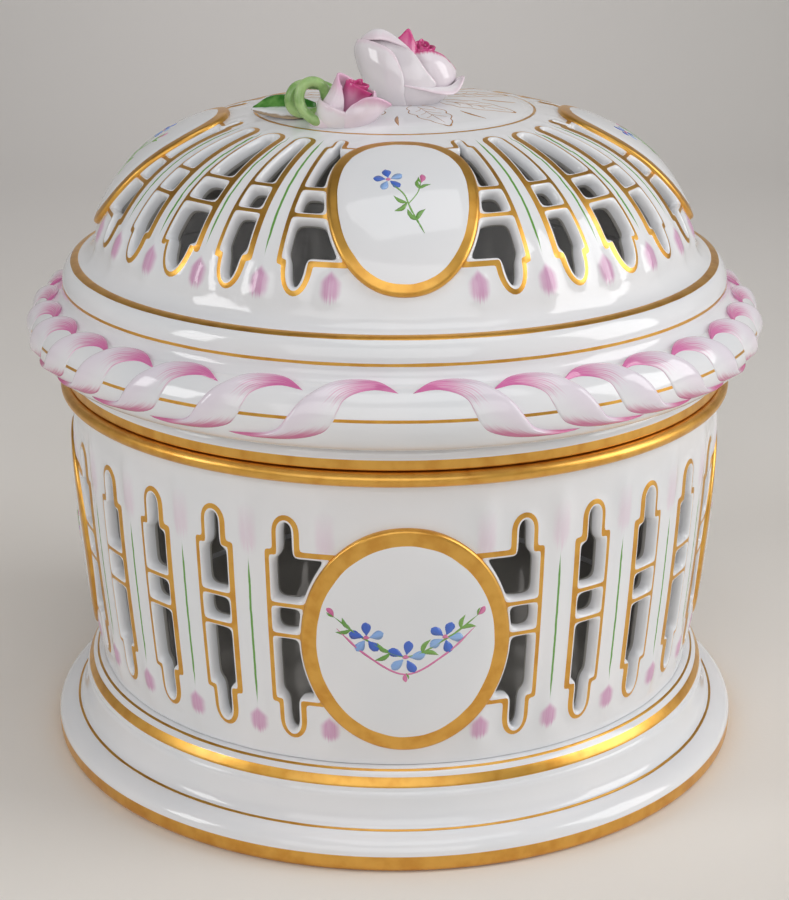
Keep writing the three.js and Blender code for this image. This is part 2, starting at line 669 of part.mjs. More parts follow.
// A flower: a low base, a closed heart, and whorls of petals that stand round it
function addFlower(name, flower) {
  const group = new THREE.Group();
  const reach = PETAL_FOOT * whorlOf(flower, flower.whorls - 1).radius;
  const lean = flower.lean * DEGREE;
  const foot = FLOWER_BASE_HEIGHT + reach * Math.sin(lean);
  group.position.set(flower.x, flower.y, seatAt(flower) + foot);
  group.setRotationFromAxisAngle(spun(-1, 0, flower.turn), lean);
  lid.add(group);
  const heart = turned([
    [0, LUTING_GAP],
    ...HEART_PROFILE.map(([across, up]) => [across * flower.heart, LUTING_GAP + up * flower.height]),
    [0, flower.height],
  ], FLOWER_FACETS);
  addPiece(group, name + "_heart", heart, deepPink);
  for (let ring = 0; ring < flower.whorls; ring++) {
    for (let i = 0; i < PETALS_PER_WHORL; i++) {
      const turn = flower.firstPetal + ring * WHORL_TURN + (i * 360) / PETALS_PER_WHORL;
      const shape = petal(flower, whorlOf(flower, ring), turn);
      const number = ring * PETALS_PER_WHORL + i + 1;
      const piece = addPiece(group, name + "_petal_" + number, shape, ring ? petalPink : deepPink);
      piece.position.z = LUTING_GAP;
    }
  }
  const base = turned([
    [0, -FLOWER_BASE_HEIGHT],
    [reach - FLOWER_BASE_LIP, -FLOWER_BASE_HEIGHT],
    [reach + FLOWER_BASE_LIP, 0],
    [0, 0],
  ], FLOWER_FACETS);
  addPiece(group, name + "_base", base, petalPink);
}

addFlower("rose", ROSE);
addFlower("bud", BUD);

// A tube that makes nearly one upright loop, with its ends splayed apart
function twigGeometry() {
  const points = [];
  for (let i = 0; i <= TWIG.bends; i++) {
    const share = i / TWIG.bends;
    const angle = (TWIG.from + share * (TWIG.to - TWIG.from)) * DEGREE;
    const rise = TWIG.radius + TWIG.loop * (1 + Math.sin(angle));
    points.push(new THREE.Vector3(TWIG.loop * Math.cos(angle), TWIG.splay * (share - 0.5), rise));
  }
  const section = new THREE.Shape().absarc(0, 0, TWIG.radius, 0, 2 * Math.PI);
  return new THREE.ExtrudeGeometry(section, {
    steps: TWIG_FACETS.along,
    curveSegments: TWIG_FACETS.around,
    extrudePath: new THREE.CatmullRomCurve3(points),
  });
}

const twig = addPiece(lid, "knob_twig", geometryFrom(solidFrom(twigGeometry())), leafGreen);
twig.position.set(TWIG.x, TWIG.y, seatAt(TWIG));

// Half the leaf's width at a share of its length, from its blunt tip to its broad base
function leafHalf(along) {
  return (LEAF.width / 2) * (LEAF_TIP + (1 - LEAF_TIP) * Math.sin(Math.PI * along ** LEAF_FORWARD));
}

function leafGeometry() {
  const points = [];
  for (const down of [0, LEAF.thickness]) {
    for (let i = 0; i <= LEAF.bends; i++) {
      const along = i / LEAF.bends;
      const arch = LEAF.arch * Math.sin(Math.PI * along);
      for (const across of [-1, 0, 1]) {
        const height = arch - (across === 0 ? LEAF.crease : 0) - down;
        points.push(new THREE.Vector3((along - 0.5) * LEAF.length, across * leafHalf(along), height));
      }
    }
  }
  const layer = 3 * (LEAF.bends + 1);
  const faces = [];
  const quad = (a, b, c, d) => faces.push(a, b, c, a, c, d);
  for (let i = 0; i < LEAF.bends; i++) {
    for (let k = 0; k < 2; k++) {
      const a = 3 * i + k;
      quad(a, a + 3, a + 4, a + 1);
      quad(layer + a, layer + a + 1, layer + a + 4, layer + a + 3);
    }
    quad(3 * i, layer + 3 * i, layer + 3 * i + 3, 3 * i + 3);
    quad(3 * i + 2, 3 * i + 5, layer + 3 * i + 5, layer + 3 * i + 2);
  }
  for (let k = 0; k < 2; k++) {
    quad(k, k + 1, layer + k + 1, layer + k);
    const end = 3 * LEAF.bends + k;
    quad(end, layer + end, layer + end + 1, end + 1);
  }
  return meshOf(points, faces);
}

const leaf = addPiece(lid, "knob_leaf", leafGeometry(), leafGreen);
leaf.position.set(LEAF.x, LEAF.y, seatAt(LEAF) + LEAF.thickness + LEAF_LIFT + LEAF.crease);
leaf.rotation.set(0, -LEAF.pitch * DEGREE, LEAF.turn * DEGREE, "ZYX");

const biscuitBox = new THREE.Group();
biscuitBox.add(box, lid);

export default biscuitBox;
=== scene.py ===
# Openwork porcelain biscuit box, dressed piece by piece in the order in which it is put together.
# Sizes are in millimetres until a mesh is made. Heights are above the table, and the front faces -Y.
import math
import bmesh
import bpy
import numpy as np
from mathutils import Matrix, Vector, noise
from mathutils.geometry import delaunay_2d_cdt


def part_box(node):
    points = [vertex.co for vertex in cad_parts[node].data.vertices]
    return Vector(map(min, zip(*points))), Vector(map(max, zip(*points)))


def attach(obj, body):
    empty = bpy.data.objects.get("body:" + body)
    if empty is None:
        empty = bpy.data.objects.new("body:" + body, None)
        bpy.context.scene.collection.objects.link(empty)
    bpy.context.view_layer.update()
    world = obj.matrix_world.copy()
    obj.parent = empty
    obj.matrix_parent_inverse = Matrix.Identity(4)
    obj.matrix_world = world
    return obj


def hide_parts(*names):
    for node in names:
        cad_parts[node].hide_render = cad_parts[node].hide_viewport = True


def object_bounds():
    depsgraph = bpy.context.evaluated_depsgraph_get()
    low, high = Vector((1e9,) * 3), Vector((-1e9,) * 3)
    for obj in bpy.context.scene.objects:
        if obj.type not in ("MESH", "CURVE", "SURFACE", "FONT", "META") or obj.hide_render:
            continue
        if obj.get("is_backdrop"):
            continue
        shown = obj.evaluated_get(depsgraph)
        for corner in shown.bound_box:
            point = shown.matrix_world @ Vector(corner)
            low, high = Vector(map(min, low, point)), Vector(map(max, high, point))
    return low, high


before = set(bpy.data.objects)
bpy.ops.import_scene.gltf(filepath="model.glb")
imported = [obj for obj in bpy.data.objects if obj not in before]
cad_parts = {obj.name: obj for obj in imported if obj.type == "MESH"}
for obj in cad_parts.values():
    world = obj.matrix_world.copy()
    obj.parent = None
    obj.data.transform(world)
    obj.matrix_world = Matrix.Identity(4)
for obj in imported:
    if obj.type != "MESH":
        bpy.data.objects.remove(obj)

cad_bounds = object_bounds()

# The foot: a turned porcelain ring with a broad roll, a cove and a moulding under the wall. It is glazed
# all over and stands on a flat ring, and its edge and mouldings are banded with burnished gold.
MM = 0.001
DEG = math.pi / 180
TURNING_STEPS = 240
LONGEST_STEP = 1.2  # longest step along a turned outline
BRUSH_WAVER = 0.07  # how much a hand-drawn gold edge wanders
SAME_PLACE = 2e-6  # points nearer than this, in metres, are one
TINY = 1e-9


def connect(tree, value, socket):
    if isinstance(value, bpy.types.NodeSocket):
        tree.links.new(value, socket)
    else:
        socket.default_value = value


def node(tree, kind, settings=None, **inputs):
    """A shader node. Inputs are given by name, with _ for a space, or by number as i0, i1 and so on."""
    made = tree.nodes.new("ShaderNode" + kind)
    for name, value in (settings or {}).items():
        setattr(made, name, value)
    for name, value in inputs.items():
        numbered = name[0] == "i" and name[1:].isdigit()
        connect(tree, value, made.inputs[int(name[1:]) if numbered else name.replace("_", " ")])
    return made


def tree_of(values):
    """The node tree of the first socket among the values."""
    return next(value.id_data for value in values if isinstance(value, bpy.types.NodeSocket))


def reckon(operation, *values):
    """A Math node's result."""
    inputs = {f"i{k}": value for k, value in enumerate(values)}
    return node(tree_of(values), "Math", {"operation": operation}, **inputs).outputs[0]


def ramp(value, low, high):
    """0 below low, 1 above high, and a smooth rise between them."""
    rise = {"Value": value, "From_Min": low, "From_Max": high}
    return node(value.id_data, "MapRange", {"interpolation_type": "SMOOTHSTEP"}, **rise).outputs["Result"]


def blend_colours(share, first, second):
    tree = tree_of((share, first, second))
    return node(tree, "Mix", {"data_type": "RGBA"}, i0=share, i6=first, i7=second).outputs[2]


def new_group(name, inputs, outputs):
    """A shader node group, the sockets of what it is given, and those of what it gives back."""
    group = bpy.data.node_groups.new(name, "ShaderNodeTree")
    for sockets, way in ((inputs, "INPUT"), (outputs, "OUTPUT")):
        for socket_name, kind in sockets.items():
            group.interface.new_socket(name=socket_name, in_out=way, socket_type="NodeSocket" + kind)
    return group, group.nodes.new("NodeGroupInput").outputs, group.nodes.new("NodeGroupOutput").inputs


def paint(red, green, blue):
    """A colour given by its screen values from 0 to 255."""
    def linear(value):
        share = value / 255
        return share / 12.92 if share <= 0.04045 else ((share + 0.055) / 1.055) ** 2.4
    return (linear(red), linear(green), linear(blue), 1)


def object_place(tree):
    return node(tree, "TexCoord").outputs["Object"]


def noise_at(tree, scale, detail=2.0):
    """Noise over the object's own place, scale in features per metre."""
    return node(tree, "TexNoise", Vector=object_place(tree), Scale=scale, Detail=detail).outputs[0]


# Fired glaze: a colour that drifts a little over the surface, and the faint unevenness of a dipped coat
glaze_coat, given, result = new_group(
    "glaze_coat",
    {"Colour": "Color", "Pooled Colour": "Color", "Pooling": "Float"},
    {"Colour": "Color", "Roughness": "Float", "Height": "Float"},
)
pooled_share = reckon("MULTIPLY", ramp(noise_at(glaze_coat, 28.0), 0.35, 0.7), given["Pooling"])
for socket_name, value in (
    ("Colour", blend_colours(pooled_share, given["Colour"], given["Pooled Colour"])),
    ("Roughness", reckon("MULTIPLY_ADD", noise_at(glaze_coat, 160.0), 0.05, 0.05)),
    ("Height", noise_at(glaze_coat, 45.0, 1.0)),
):
    glaze_coat.links.new(value, result[socket_name])

GLAZE_WHITE = paint(236, 236, 238)
GLAZE_POOLED = paint(224, 228, 232)


def new_material(name):
    material = bpy.data.materials.new(name)
    material.use_nodes = True
    material.node_tree.nodes.clear()
    return material, material.node_tree


def finish_material(tree, colour, roughness, height, bump=0.1, metallic=0.0, swell=0.0006):
    normal = node(tree, "Bump", Strength=bump, Distance=swell, Height=height).outputs["Normal"]
    surface = node(tree, "BsdfPrincipled", Metallic=metallic, Base_Color=colour, Roughness=roughness,
                   Normal=normal)
    node(tree, "OutputMaterial", Surface=surface.outputs[0])
    return surface


def glazed_material(name, colour=GLAZE_WHITE, pooled=GLAZE_POOLED, pooling=0.5, painted=None):
    """Glossy glaze over porcelain. painted(tree, colour) may lay enamel on it, and returns the colour."""
    material, tree = new_material(name)
    coat = node(tree, "Group", {"node_tree": glaze_coat}, Colour=colour, Pooled_Colour=pooled,
                Pooling=pooling)
    shown = painted(tree, coat.outputs["Colour"]) if painted else coat.outputs["Colour"]
    finish_material(tree, shown, coat.outputs["Roughness"], coat.outputs["Height"])
    return material


porcelain = glazed_material("porcelain")

# Burnished gold, a little thin and uneven where the brush left it, under a thin clear gloss
gilding, tree = new_material("gilding")
worn = ramp(noise_at(tree, 220.0, 3.0), 0.35, 0.75)
gold = blend_colours(worn, paint(234, 180, 86), paint(218, 158, 68))
gold_gloss = reckon("MULTIPLY_ADD", noise_at(tree, 500.0, 3.0), 0.14, 0.32)
burnished = finish_material(tree, gold, gold_gloss, noise_at(tree, 300.0), bump=0.12, metallic=1.0,
                            swell=0.0003)
burnished.inputs["Coat Weight"].default_value = 0.3
burnished.inputs["Coat Roughness"].default_value = 0.12


def add_object(name, data):
    made = bpy.data.objects.new(name, data)
    bpy.context.scene.collection.objects.link(made)
    return made


def make_piece(name, points, faces, materials, finish=None, strip=None):
    """A smooth mesh from points in millimetres. finish is each face's material, and strip each point's
    place on the strip's map."""
    mesh = bpy.data.meshes.new(name)
    mesh.from_pydata((np.asarray(points) * MM).tolist(), [], faces)
    for material in materials:
        mesh.materials.append(material)
    if finish is not None:
        mesh.polygons.foreach_set("material_index", np.asarray(finish, dtype=np.int32))
    if strip is not None:
        corners = np.empty(len(mesh.loops), dtype=np.int32)
        mesh.loops.foreach_get("vertex_index", corners)
        mesh.uv_layers.new(name="Strip").data.foreach_set("uv", np.asarray(strip)[corners].ravel())
    form = bmesh.new()
    form.from_mesh(mesh)
    bmesh.ops.remove_doubles(form, verts=form.verts, dist=SAME_PLACE)
    bmesh.ops.recalc_face_normals(form, faces=form.faces)
    form.to_mesh(mesh)
    form.free()
    mesh.polygons.foreach_set("use_smooth", np.ones(len(mesh.polygons), dtype=bool))
    return add_object(name, mesh)


def band_faces(here, there, count, closed=True):
    """Faces between two rows of so many points, which start at here and at there."""
    return [(here + k, here + (k + 1) % count, there + (k + 1) % count, there + k)
            for k in range(count if closed else count - 1)]


def softened(outline, steps=4):
    """The points of an outline of (radius, height, rounding) corners, with its corners rounded."""
    corners = [np.array(point[:2], dtype=float) for point in outline]
    points = []
    for i, corner in enumerate(corners):
        before = corners[i - 1] - corner
        after = corners[(i + 1) % len(corners)] - corner
        rounding = outline[i][2] if len(outline[i]) > 2 else 0
        reach = min(rounding, np.linalg.norm(before) * 0.45, np.linalg.norm(after) * 0.45)
        if reach < TINY:
            points.append(corner)
            continue
        start = corner + before / np.linalg.norm(before) * reach
        end = corner + after / np.linalg.norm(after) * reach
        for t in np.linspace(0, 1, steps + 1):
            points.append((1 - t) ** 2 * start + 2 * t * (1 - t) * corner + t ** 2 * end)
    return points


def within(window, point):
    low_radius, high_radius, low, high = window
    return low_radius <= point[0] <= high_radius and low <= point[1] <= high


def window_crossings(window, start, end):
    """Shares of the way from start to end at which the line crosses the window's edges."""
    slack = 0.001
    wider = np.array(window) + (-slack, slack, -slack, slack)
    way = end - start
    shares = []
    for axis, edges in ((0, window[:2]), (1, window[2:])):
        for edge in edges:
            share = (edge - start[axis]) / way[axis] if abs(way[axis]) > TINY else 0
            if slack < share < 1 - slack and within(wider, start + share * way):
                shares.append(share)
    return shares


def turned(name, outline, gold=(), longest=LONGEST_STEP, materials=None):
    """A ring turned from a closed outline. gold lists gilt windows: radius from, to, height from, to."""
    soft = softened(outline)
    points, gilt_edge, gilt = [], [], []
    for i, start in enumerate(soft):
        end = soft[(i + 1) % len(soft)]
        length = np.linalg.norm(end - start)
        if length < TINY:
            continue
        edges = sorted({round(s, 5) for window in gold for s in window_crossings(window, start, end)})
        shares = [0, *edges, 1]
        for first, last in zip(shares, shares[1:]):
            count = max(1, math.ceil((last - first) * length / longest))
            middle = start + (first + last) / 2 * (end - start)
            for k in range(count):
                points.append(start + (first + (last - first) * k / count) * (end - start))
                gilt_edge.append(k == 0 and first > 0)
                gilt.append(any(within(window, middle) for window in gold))
    profile = np.array(points)
    along = np.roll(profile, -1, 0) - np.roll(profile, 1, 0)
    along /= np.maximum(np.linalg.norm(along, axis=1), TINY)[:, None]
    angles = np.arange(TURNING_STEPS) * 2 * math.pi / TURNING_STEPS
    waver = np.zeros((len(profile), TURNING_STEPS))
    steps = np.linalg.norm(profile - np.roll(profile, 1, 0), axis=1)
    room = np.minimum(BRUSH_WAVER, 0.5 * np.minimum(steps, np.roll(steps, -1)))
    for i, edge in enumerate(gilt_edge):
        if edge:
            waver[i] = [
                room[i] * (noise.noise((9 * math.sin(a), 9 * math.cos(a), i)) +
                           0.5 * noise.noise((31 * math.sin(a), 31 * math.cos(a), i)))
                for a in angles
            ]
    radius = profile[:, :1] + along[:, :1] * waver
    height = profile[:, 1:] + along[:, 1:] * waver
    rings = np.stack([radius * np.sin(angles), -radius * np.cos(angles), height], -1)
    faces, finish = [], []
    for i, gilded in enumerate(gilt):
        faces += band_faces(i * TURNING_STEPS, (i + 1) % len(gilt) * TURNING_STEPS, TURNING_STEPS)
        finish += [int(gilded)] * TURNING_STEPS
    return make_piece(name, rings.reshape(-1, 3), faces, materials or [porcelain, gilding], finish)


def arc(centre, size, start, end, steps=10):
    """Points of an ellipse's arc, as outline corners without rounding."""
    angles = np.linspace(start, end, steps + 1) * DEG
    return [(centre[0] + size[0] * math.cos(a), centre[1] + size[1] * math.sin(a)) for a in angles]


def stand_for(piece, body, *nodes, slot="porcelain"):
    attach(piece, body)
    if nodes:
        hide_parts(*nodes)


def node_size(name):
    """A node's outer radius, lowest and highest point, in millimetres."""
    low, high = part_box(name)
    return -low[1] / MM, low[2] / MM, high[2] / MM


foot_radius, _, foot_top = node_size("box_foot")
wall_foot_radius, wall_thickness = 75.3, 3.7
foot_shelf_radius = wall_foot_radius + 1.2
ledge_radius = wall_foot_radius - wall_thickness
floor_rise = node_size("box_floor")[1]
foot = turned(
    "foot",
    [
        (foot_radius - 8, 0.05, 0.8),
        (foot_radius - 0.9, 0.05, 0.7),
        (foot_radius - 0.02, 1.1, 0.9),
        *arc((foot_radius - 5.2, 4.2), (5.16, 3.7), 0, 90),
        *arc((foot_radius - 5.3, 15.7), (2.4, 7.6), 270, 180),
        (foot_radius - 8.1, 16.1, 0.3),
        (foot_radius - 8.2, 17.3, 0.4),
        (foot_radius - 9.3, 19.3, 0.9),
        (foot_shelf_radius, foot_top - 0.25, 0.5),
        (wall_foot_radius - 0.3, foot_top - 0.1, 0.2),
        (ledge_radius, foot_top, 0.4),
        (ledge_radius, floor_rise, 0.4),
        (ledge_radius - 4, floor_rise, 0.6),
        (ledge_radius - 4, floor_rise - 4, 0.8),
        (foot_radius - 8, 4, 1.2),
    ],
    gold=[
        (foot_radius - 1.3, foot_radius + 1, 0.1, 4.15),
        (foot_radius - 5.5, foot_radius - 4.9, 7.6, 8.2),
        (foot_radius - 9.35, foot_radius - 8.1, 17.1, 19.35),
        (foot_radius - 10.85, foot_radius - 10.35, 19.5, 21),
    ],
)
stand_for(foot, "box", "box_foot")

# The floor: a thrown disc that rests on the foot's inner ledge and is glazed in with it. Inside the box,
# here and on the inner face of the wall, the white glaze is painted grey as shade, for the little light
# that gets in.
floor_low, floor_high = node_size("box_floor")[1:]
floor_edge = ledge_radius + 0.1
# Painted shade: grey for the white glaze inside the box
INSIDE_SHADE_COLOUR = paint(184, 181, 176)
inside_painted_shade = glazed_material("inside_painted_shade", INSIDE_SHADE_COLOUR, INSIDE_SHADE_COLOUR)
floor_disc = turned(
    "floor",
    [(0, floor_low), (floor_edge, floor_low), (floor_edge, floor_high, 0.3), (0, floor_high)],
    longest=6,
    materials=[inside_painted_shade],
)
stand_for(floor_disc, "box", "box_floor")

# The wall: one thrown drum, pierced while it was leather-hard with five barred slots between each two
# medallions. Each slot is outlined in gold, its edges are softened, and the strips between slots carry a
# green line and pink.
QUARTER = 90  # degrees from one medallion to the next
SLOT_PITCH = 12.9  # degrees
SLOTS = 5
MIDDLE_SLOT = (SLOTS - 1) / 2
OUTLINE_STEP = 0.8
GRID_STEP = 1.45
INNER_GRID_STEP = 1.3 * GRID_STEP
# How the wall turns in at a slot: inset from the outline, from a crossbar's middle and from a medallion,
# how far out of the face, and how much the corners are softened. The gilt edge stands up a little.
SLOT_RINGS = [
    {"inset": 1.0, "bar": 0.45, "oval": 0.0, "out": 0.3, "soft": 0.6},
    {"inset": 1.25, "bar": 0.64, "oval": 0.27, "out": 0.26, "soft": 0.9},
    {"inset": 1.55, "bar": 0.87, "oval": 0.54, "out": -0.05, "soft": 1.2},
    {"inset": 1.78, "bar": 1.04, "oval": 0.7, "out": -0.8, "soft": 1.5},
]
THROUGH_RING = {"inset": 1.84, "bar": 1.08, "oval": 0.74, "soft": 1.6}
BACK_RING = {"inset": 1.4, "bar": 0.7, "oval": 0.4, "soft": 1.5}
OUTLINE_RING = {"inset": -0.15, "bar": 0.0, "oval": -0.45, "soft": 0.7}
CAP_STEPS = 8
# The strips' map: slots counted round the quarter, and its unit up the wall in millimetres.
# The sides of the slots and the inner faces lie beyond the quarter on it, at places of their own.
STRIP_UNIT = 100
SIDE_MARK = 5.0
INSIDE_MARK = 9.0


def on_wall(wall, degrees, up, out):
    """Points at so many degrees round a wall, so far up it and so far out of its face."""
    outer = [np.interp(up, wall["up"], wall["outer"][:, k]) for k in (0, 1)]
    inner = [np.interp(up, wall["up"], wall["inner"][:, k]) for k in (0, 1)]
    radius, height = (o - (i - o) * out / wall["thickness"] for o, i in zip(outer, inner))
    angle = np.asarray(degrees) * DEG
    return np.stack([radius * np.sin(angle), -radius * np.cos(angle), height + 0 * angle], -1)


def radius_at(wall, up):
    return np.interp(up, wall["up"], wall["outer"][:, 0])


def spaced(start, end, count):
    """So many even steps from start towards end, without the end itself."""
    return start + (end - start) * np.arange(count) / count


def steps_over(length, step=OUTLINE_STEP):
    return max(2, round(abs(float(length)) / step))


def oval_half_width(oval, up, beyond):
    share = np.abs((up - oval["middle"]) / (oval["half_height"] + beyond))
    return (oval["half_width"] + beyond) * np.maximum(1 - share ** oval["power"], 0) ** (1 / oval["power"])


def side_reach(wall, slot, number, side, up, ring):
    """How far a slot's broad part reaches to one side at a height, in millimetres along the wall."""
    per_degree = radius_at(wall, up) * DEG
    if side * (number - MIDDLE_SLOT) < MIDDLE_SLOT:
        return slot_half(slot, number) * per_degree - ring["inset"]
    to_medallion = (QUARTER / 2 - MIDDLE_SLOT * SLOT_PITCH) * per_degree
    return to_medallion - oval_half_width(slot["oval"], up, ring["oval"])


def slot_half(slot, number):
    return slot["middle_half"] if number == MIDDLE_SLOT else slot["half"]


def slot_end(slot, number, way):
    """Half the width of a slot's narrow end, in millimetres, or None where it has no shoulder there."""
    beside = number in (0, SLOTS - 1)
    if way < 0:
        return slot["low_end"] * slot_half(slot, number) / slot["half"]
    return slot["high_end_beside"] if beside else slot["high_end"]


def end_part(wall, slot, number, way, base, height, ring):
    """From the right side at a height, round a slot's upper or lower end and back to that height on the
    left. The steps are counted from base, so that every ring of a window has as many."""
    end = slot["top"] if way > 0 else slot["bottom"]
    shoulder = slot["high_shoulder"] if way > 0 else slot["low_shoulder"]
    narrow = slot_end(slot, number, way)
    pointed = slot["high_pointed"] if way > 0 else slot["low_pointed"]
    inset = ring["inset"]
    end_inset = inset if narrow is None else inset * min(1, 0.8 * narrow / THROUGH_RING["inset"])
    parts = []
    for side in (1, -1):
        if narrow is None:
            rounding = side_reach(wall, slot, number, side, end - way * 2.2, OUTLINE_RING)
            capped = end - way * rounding
            up = spaced(height, capped, steps_over(capped - base))
            across = side_reach(wall, slot, number, side, up, ring)
        else:
            rounding = narrow
            corner = shoulder - way * inset
            capped = end - way * narrow * pointed
            up = spaced(height, corner, steps_over(shoulder - base))
            across = side_reach(wall, slot, number, side, up, ring)
            reach = side_reach(wall, slot, number, side, corner, ring)
            broad = side_reach(wall, slot, number, side, shoulder, OUTLINE_RING)
            steps = spaced(reach, narrow - end_inset, steps_over(broad - narrow, 0.6))
            rise = spaced(corner, capped, steps_over(capped - shoulder))
            up = np.concatenate([up, np.full(len(steps), corner), rise])
            across = np.concatenate([across, steps, np.full(len(rise), narrow - end_inset)])
        turn = np.linspace(0, math.pi / 2, CAP_STEPS)
        cap_across = (rounding - end_inset) * np.cos(turn)
        cap_height = rounding * (1 if narrow is None else pointed) - end_inset
        cap_up = capped + way * cap_height * np.sin(turn)
        if side < 0:
            cap_across, cap_up = cap_across[:-1], cap_up[:-1]
        across = np.concatenate([across, cap_across])
        up = np.concatenate([up, cap_up])
        parts.append(np.stack([side * across, up], -1))
    return np.concatenate([parts[0], parts[1][::-1]])


def slot_outline(wall, slot, number):
    middle = (slot["low_bar"] + slot["high_bar"]) / 2
    lower = end_part(wall, slot, number, -1, middle, middle, OUTLINE_RING)
    upper = end_part(wall, slot, number, 1, middle, middle, OUTLINE_RING)
    return blurred(np.concatenate([lower, upper[::-1][1:-1]]), OUTLINE_RING["soft"] / OUTLINE_STEP)


def straight(start, end):
    """The points between two points of a ring, without the two themselves."""
    return start + (end - start) * np.linspace(0, 1, CAP_STEPS + 1)[1:-1, None]


def window_ring(wall, slot, number, window, ring):
    """A ring of one of a slot's three windows: -1 the lower, 0 the middle and 1 the upper."""
    low = slot["low_bar"] + ring["bar"]
    high = slot["high_bar"] - ring["bar"]
    if window == 0:
        up = np.linspace(low, high, CAP_STEPS)
        right = np.stack([side_reach(wall, slot, number, 1, up, ring), up], -1)
        left = np.stack([-side_reach(wall, slot, number, -1, up[::-1], ring), up[::-1]], -1)
        points = np.concatenate([right, straight(right[-1], left[0]), left, straight(left[-1], right[0])])
    else:
        bar = slot["high_bar"] if window > 0 else slot["low_bar"]
        part = end_part(wall, slot, number, window, bar, bar + window * ring["bar"], ring)
        points = np.concatenate([part, straight(part[-1], part[0])])
    return blurred(points, ring["soft"] / OUTLINE_STEP)


def blurred(points, spread):
    """A closed outline with its corners softened by a running average."""
    reach = int(3 * spread) + 1
    weights = np.exp(-0.5 * (np.arange(-reach, reach + 1) / spread) ** 2)
    weights /= weights.sum()
    return sum(w * np.roll(points, k, 0) for k, w in zip(range(-reach, reach + 1), weights))


def inside(polygon, points):
    """Which points lie inside a closed outline."""
    x, y = points[:, :1], points[:, 1:]
    start, end = polygon, np.roll(polygon, -1, 0)
    crosses = (start[:, 1] > y) != (end[:, 1] > y)
    rise = np.where(np.abs(end[:, 1] - start[:, 1]) < 1e-12, 1e-12, end[:, 1] - start[:, 1])
    at = start[:, 0] + (y - start[:, 1]) / rise * (end[:, 0] - start[:, 0])
    return (crosses & (x < at)).sum(1) % 2 == 1


def any_inside(wall, outlines, points):
    return np.any([inside(laid_flat(wall, outline), points) for outline in outlines], axis=0)


def laid_flat(wall, points):
    return np.stack([points[:, 0] * DEG * radius_at(wall, points[:, 1]), points[:, 1]], -1)


def grid_points(wall, low, high, step):
    """Points over a quarter of a wall: those on its four edges, and those between, in staggered rows."""
    half = QUARTER / 2
    rows = np.linspace(low, high, max(2, round((high - low) / step)) + 1)
    columns = np.linspace(-half, half, round(QUARTER * DEG * radius_at(wall, low) / step) + 1)
    edges = [np.stack([np.full(len(rows), side * half), rows], -1) for side in (-1, 1)]
    edges += [np.stack([columns[1:-1], np.full(len(columns) - 2, up)], -1) for up in (low, high)]
    between = []
    for row, up in enumerate(rows[1:-1]):
        count = max(4, round(QUARTER * DEG * radius_at(wall, up) / step))
        degrees = -half + QUARTER * (np.arange(1, count) - 0.5 * (row % 2)) / count
        between.append(np.stack([degrees, np.full(count - 1, up)], -1))
    between = np.concatenate(between)
    near_edge = 0.4 * step / radius_at(wall, between[:, 1]) / DEG
    return edges, between[np.abs(between[:, 0]) < half - near_edge]


def flat_sheet(wall, low, high, loops, step):
    """Triangles over a quarter of a wall laid flat, with every loop's edges among theirs. loops are pairs
    of points and whether the grid keeps clear of them. Gives the points, the loop that each is from, and
    the triangles."""
    points, between = grid_points(wall, low, high, step)
    flat = laid_flat(wall, between)
    keep = np.ones(len(between), dtype=bool)
    for outline in (laid_flat(wall, loop) for loop, outermost in loops if outermost):
        near = (np.abs(flat - outline.mean(0)) < np.ptp(outline, axis=0) / 2 + step).all(1)
        gap = np.full(len(flat), np.inf)
        if near.any():
            gap[near] = np.linalg.norm(flat[near][:, None] - outline[None], axis=2).min(1)
        keep &= ~(near & ((gap < 0.55 * step) | inside(outline, flat)))
    points.append(between[keep])
    labels = [np.full(sum(map(len, points)), -1)]
    edges = []
    for number, (loop, _) in enumerate(loops):
        start = sum(map(len, points))
        points.append(loop)
        labels.append(np.full(len(loop), number))
        edges += [(start + k, start + (k + 1) % len(loop)) for k in range(len(loop))]
    labels = np.concatenate(labels)
    spread = laid_flat(wall, np.concatenate(points))
    found = delaunay_2d_cdt([Vector(p) for p in spread.tolist()], edges, [], 0, 1e-6)
    flat_points = np.array([tuple(p) for p in found[0]])
    origin = np.array([source[0] if source else -1 for source in found[3]])
    triangles = np.array(found[2])
    centres = flat_points[triangles].mean(1)
    in_quarter = np.abs(centres[:, 0]) < QUARTER / 2 * DEG * radius_at(wall, centres[:, 1]) + 1e-4
    degrees = flat_points[:, 0] / (radius_at(wall, flat_points[:, 1]) * DEG)
    places = np.stack([degrees, flat_points[:, 1]], -1)
    return places, np.where(origin >= 0, labels[origin], -1), triangles[in_quarter], centres[in_quarter]


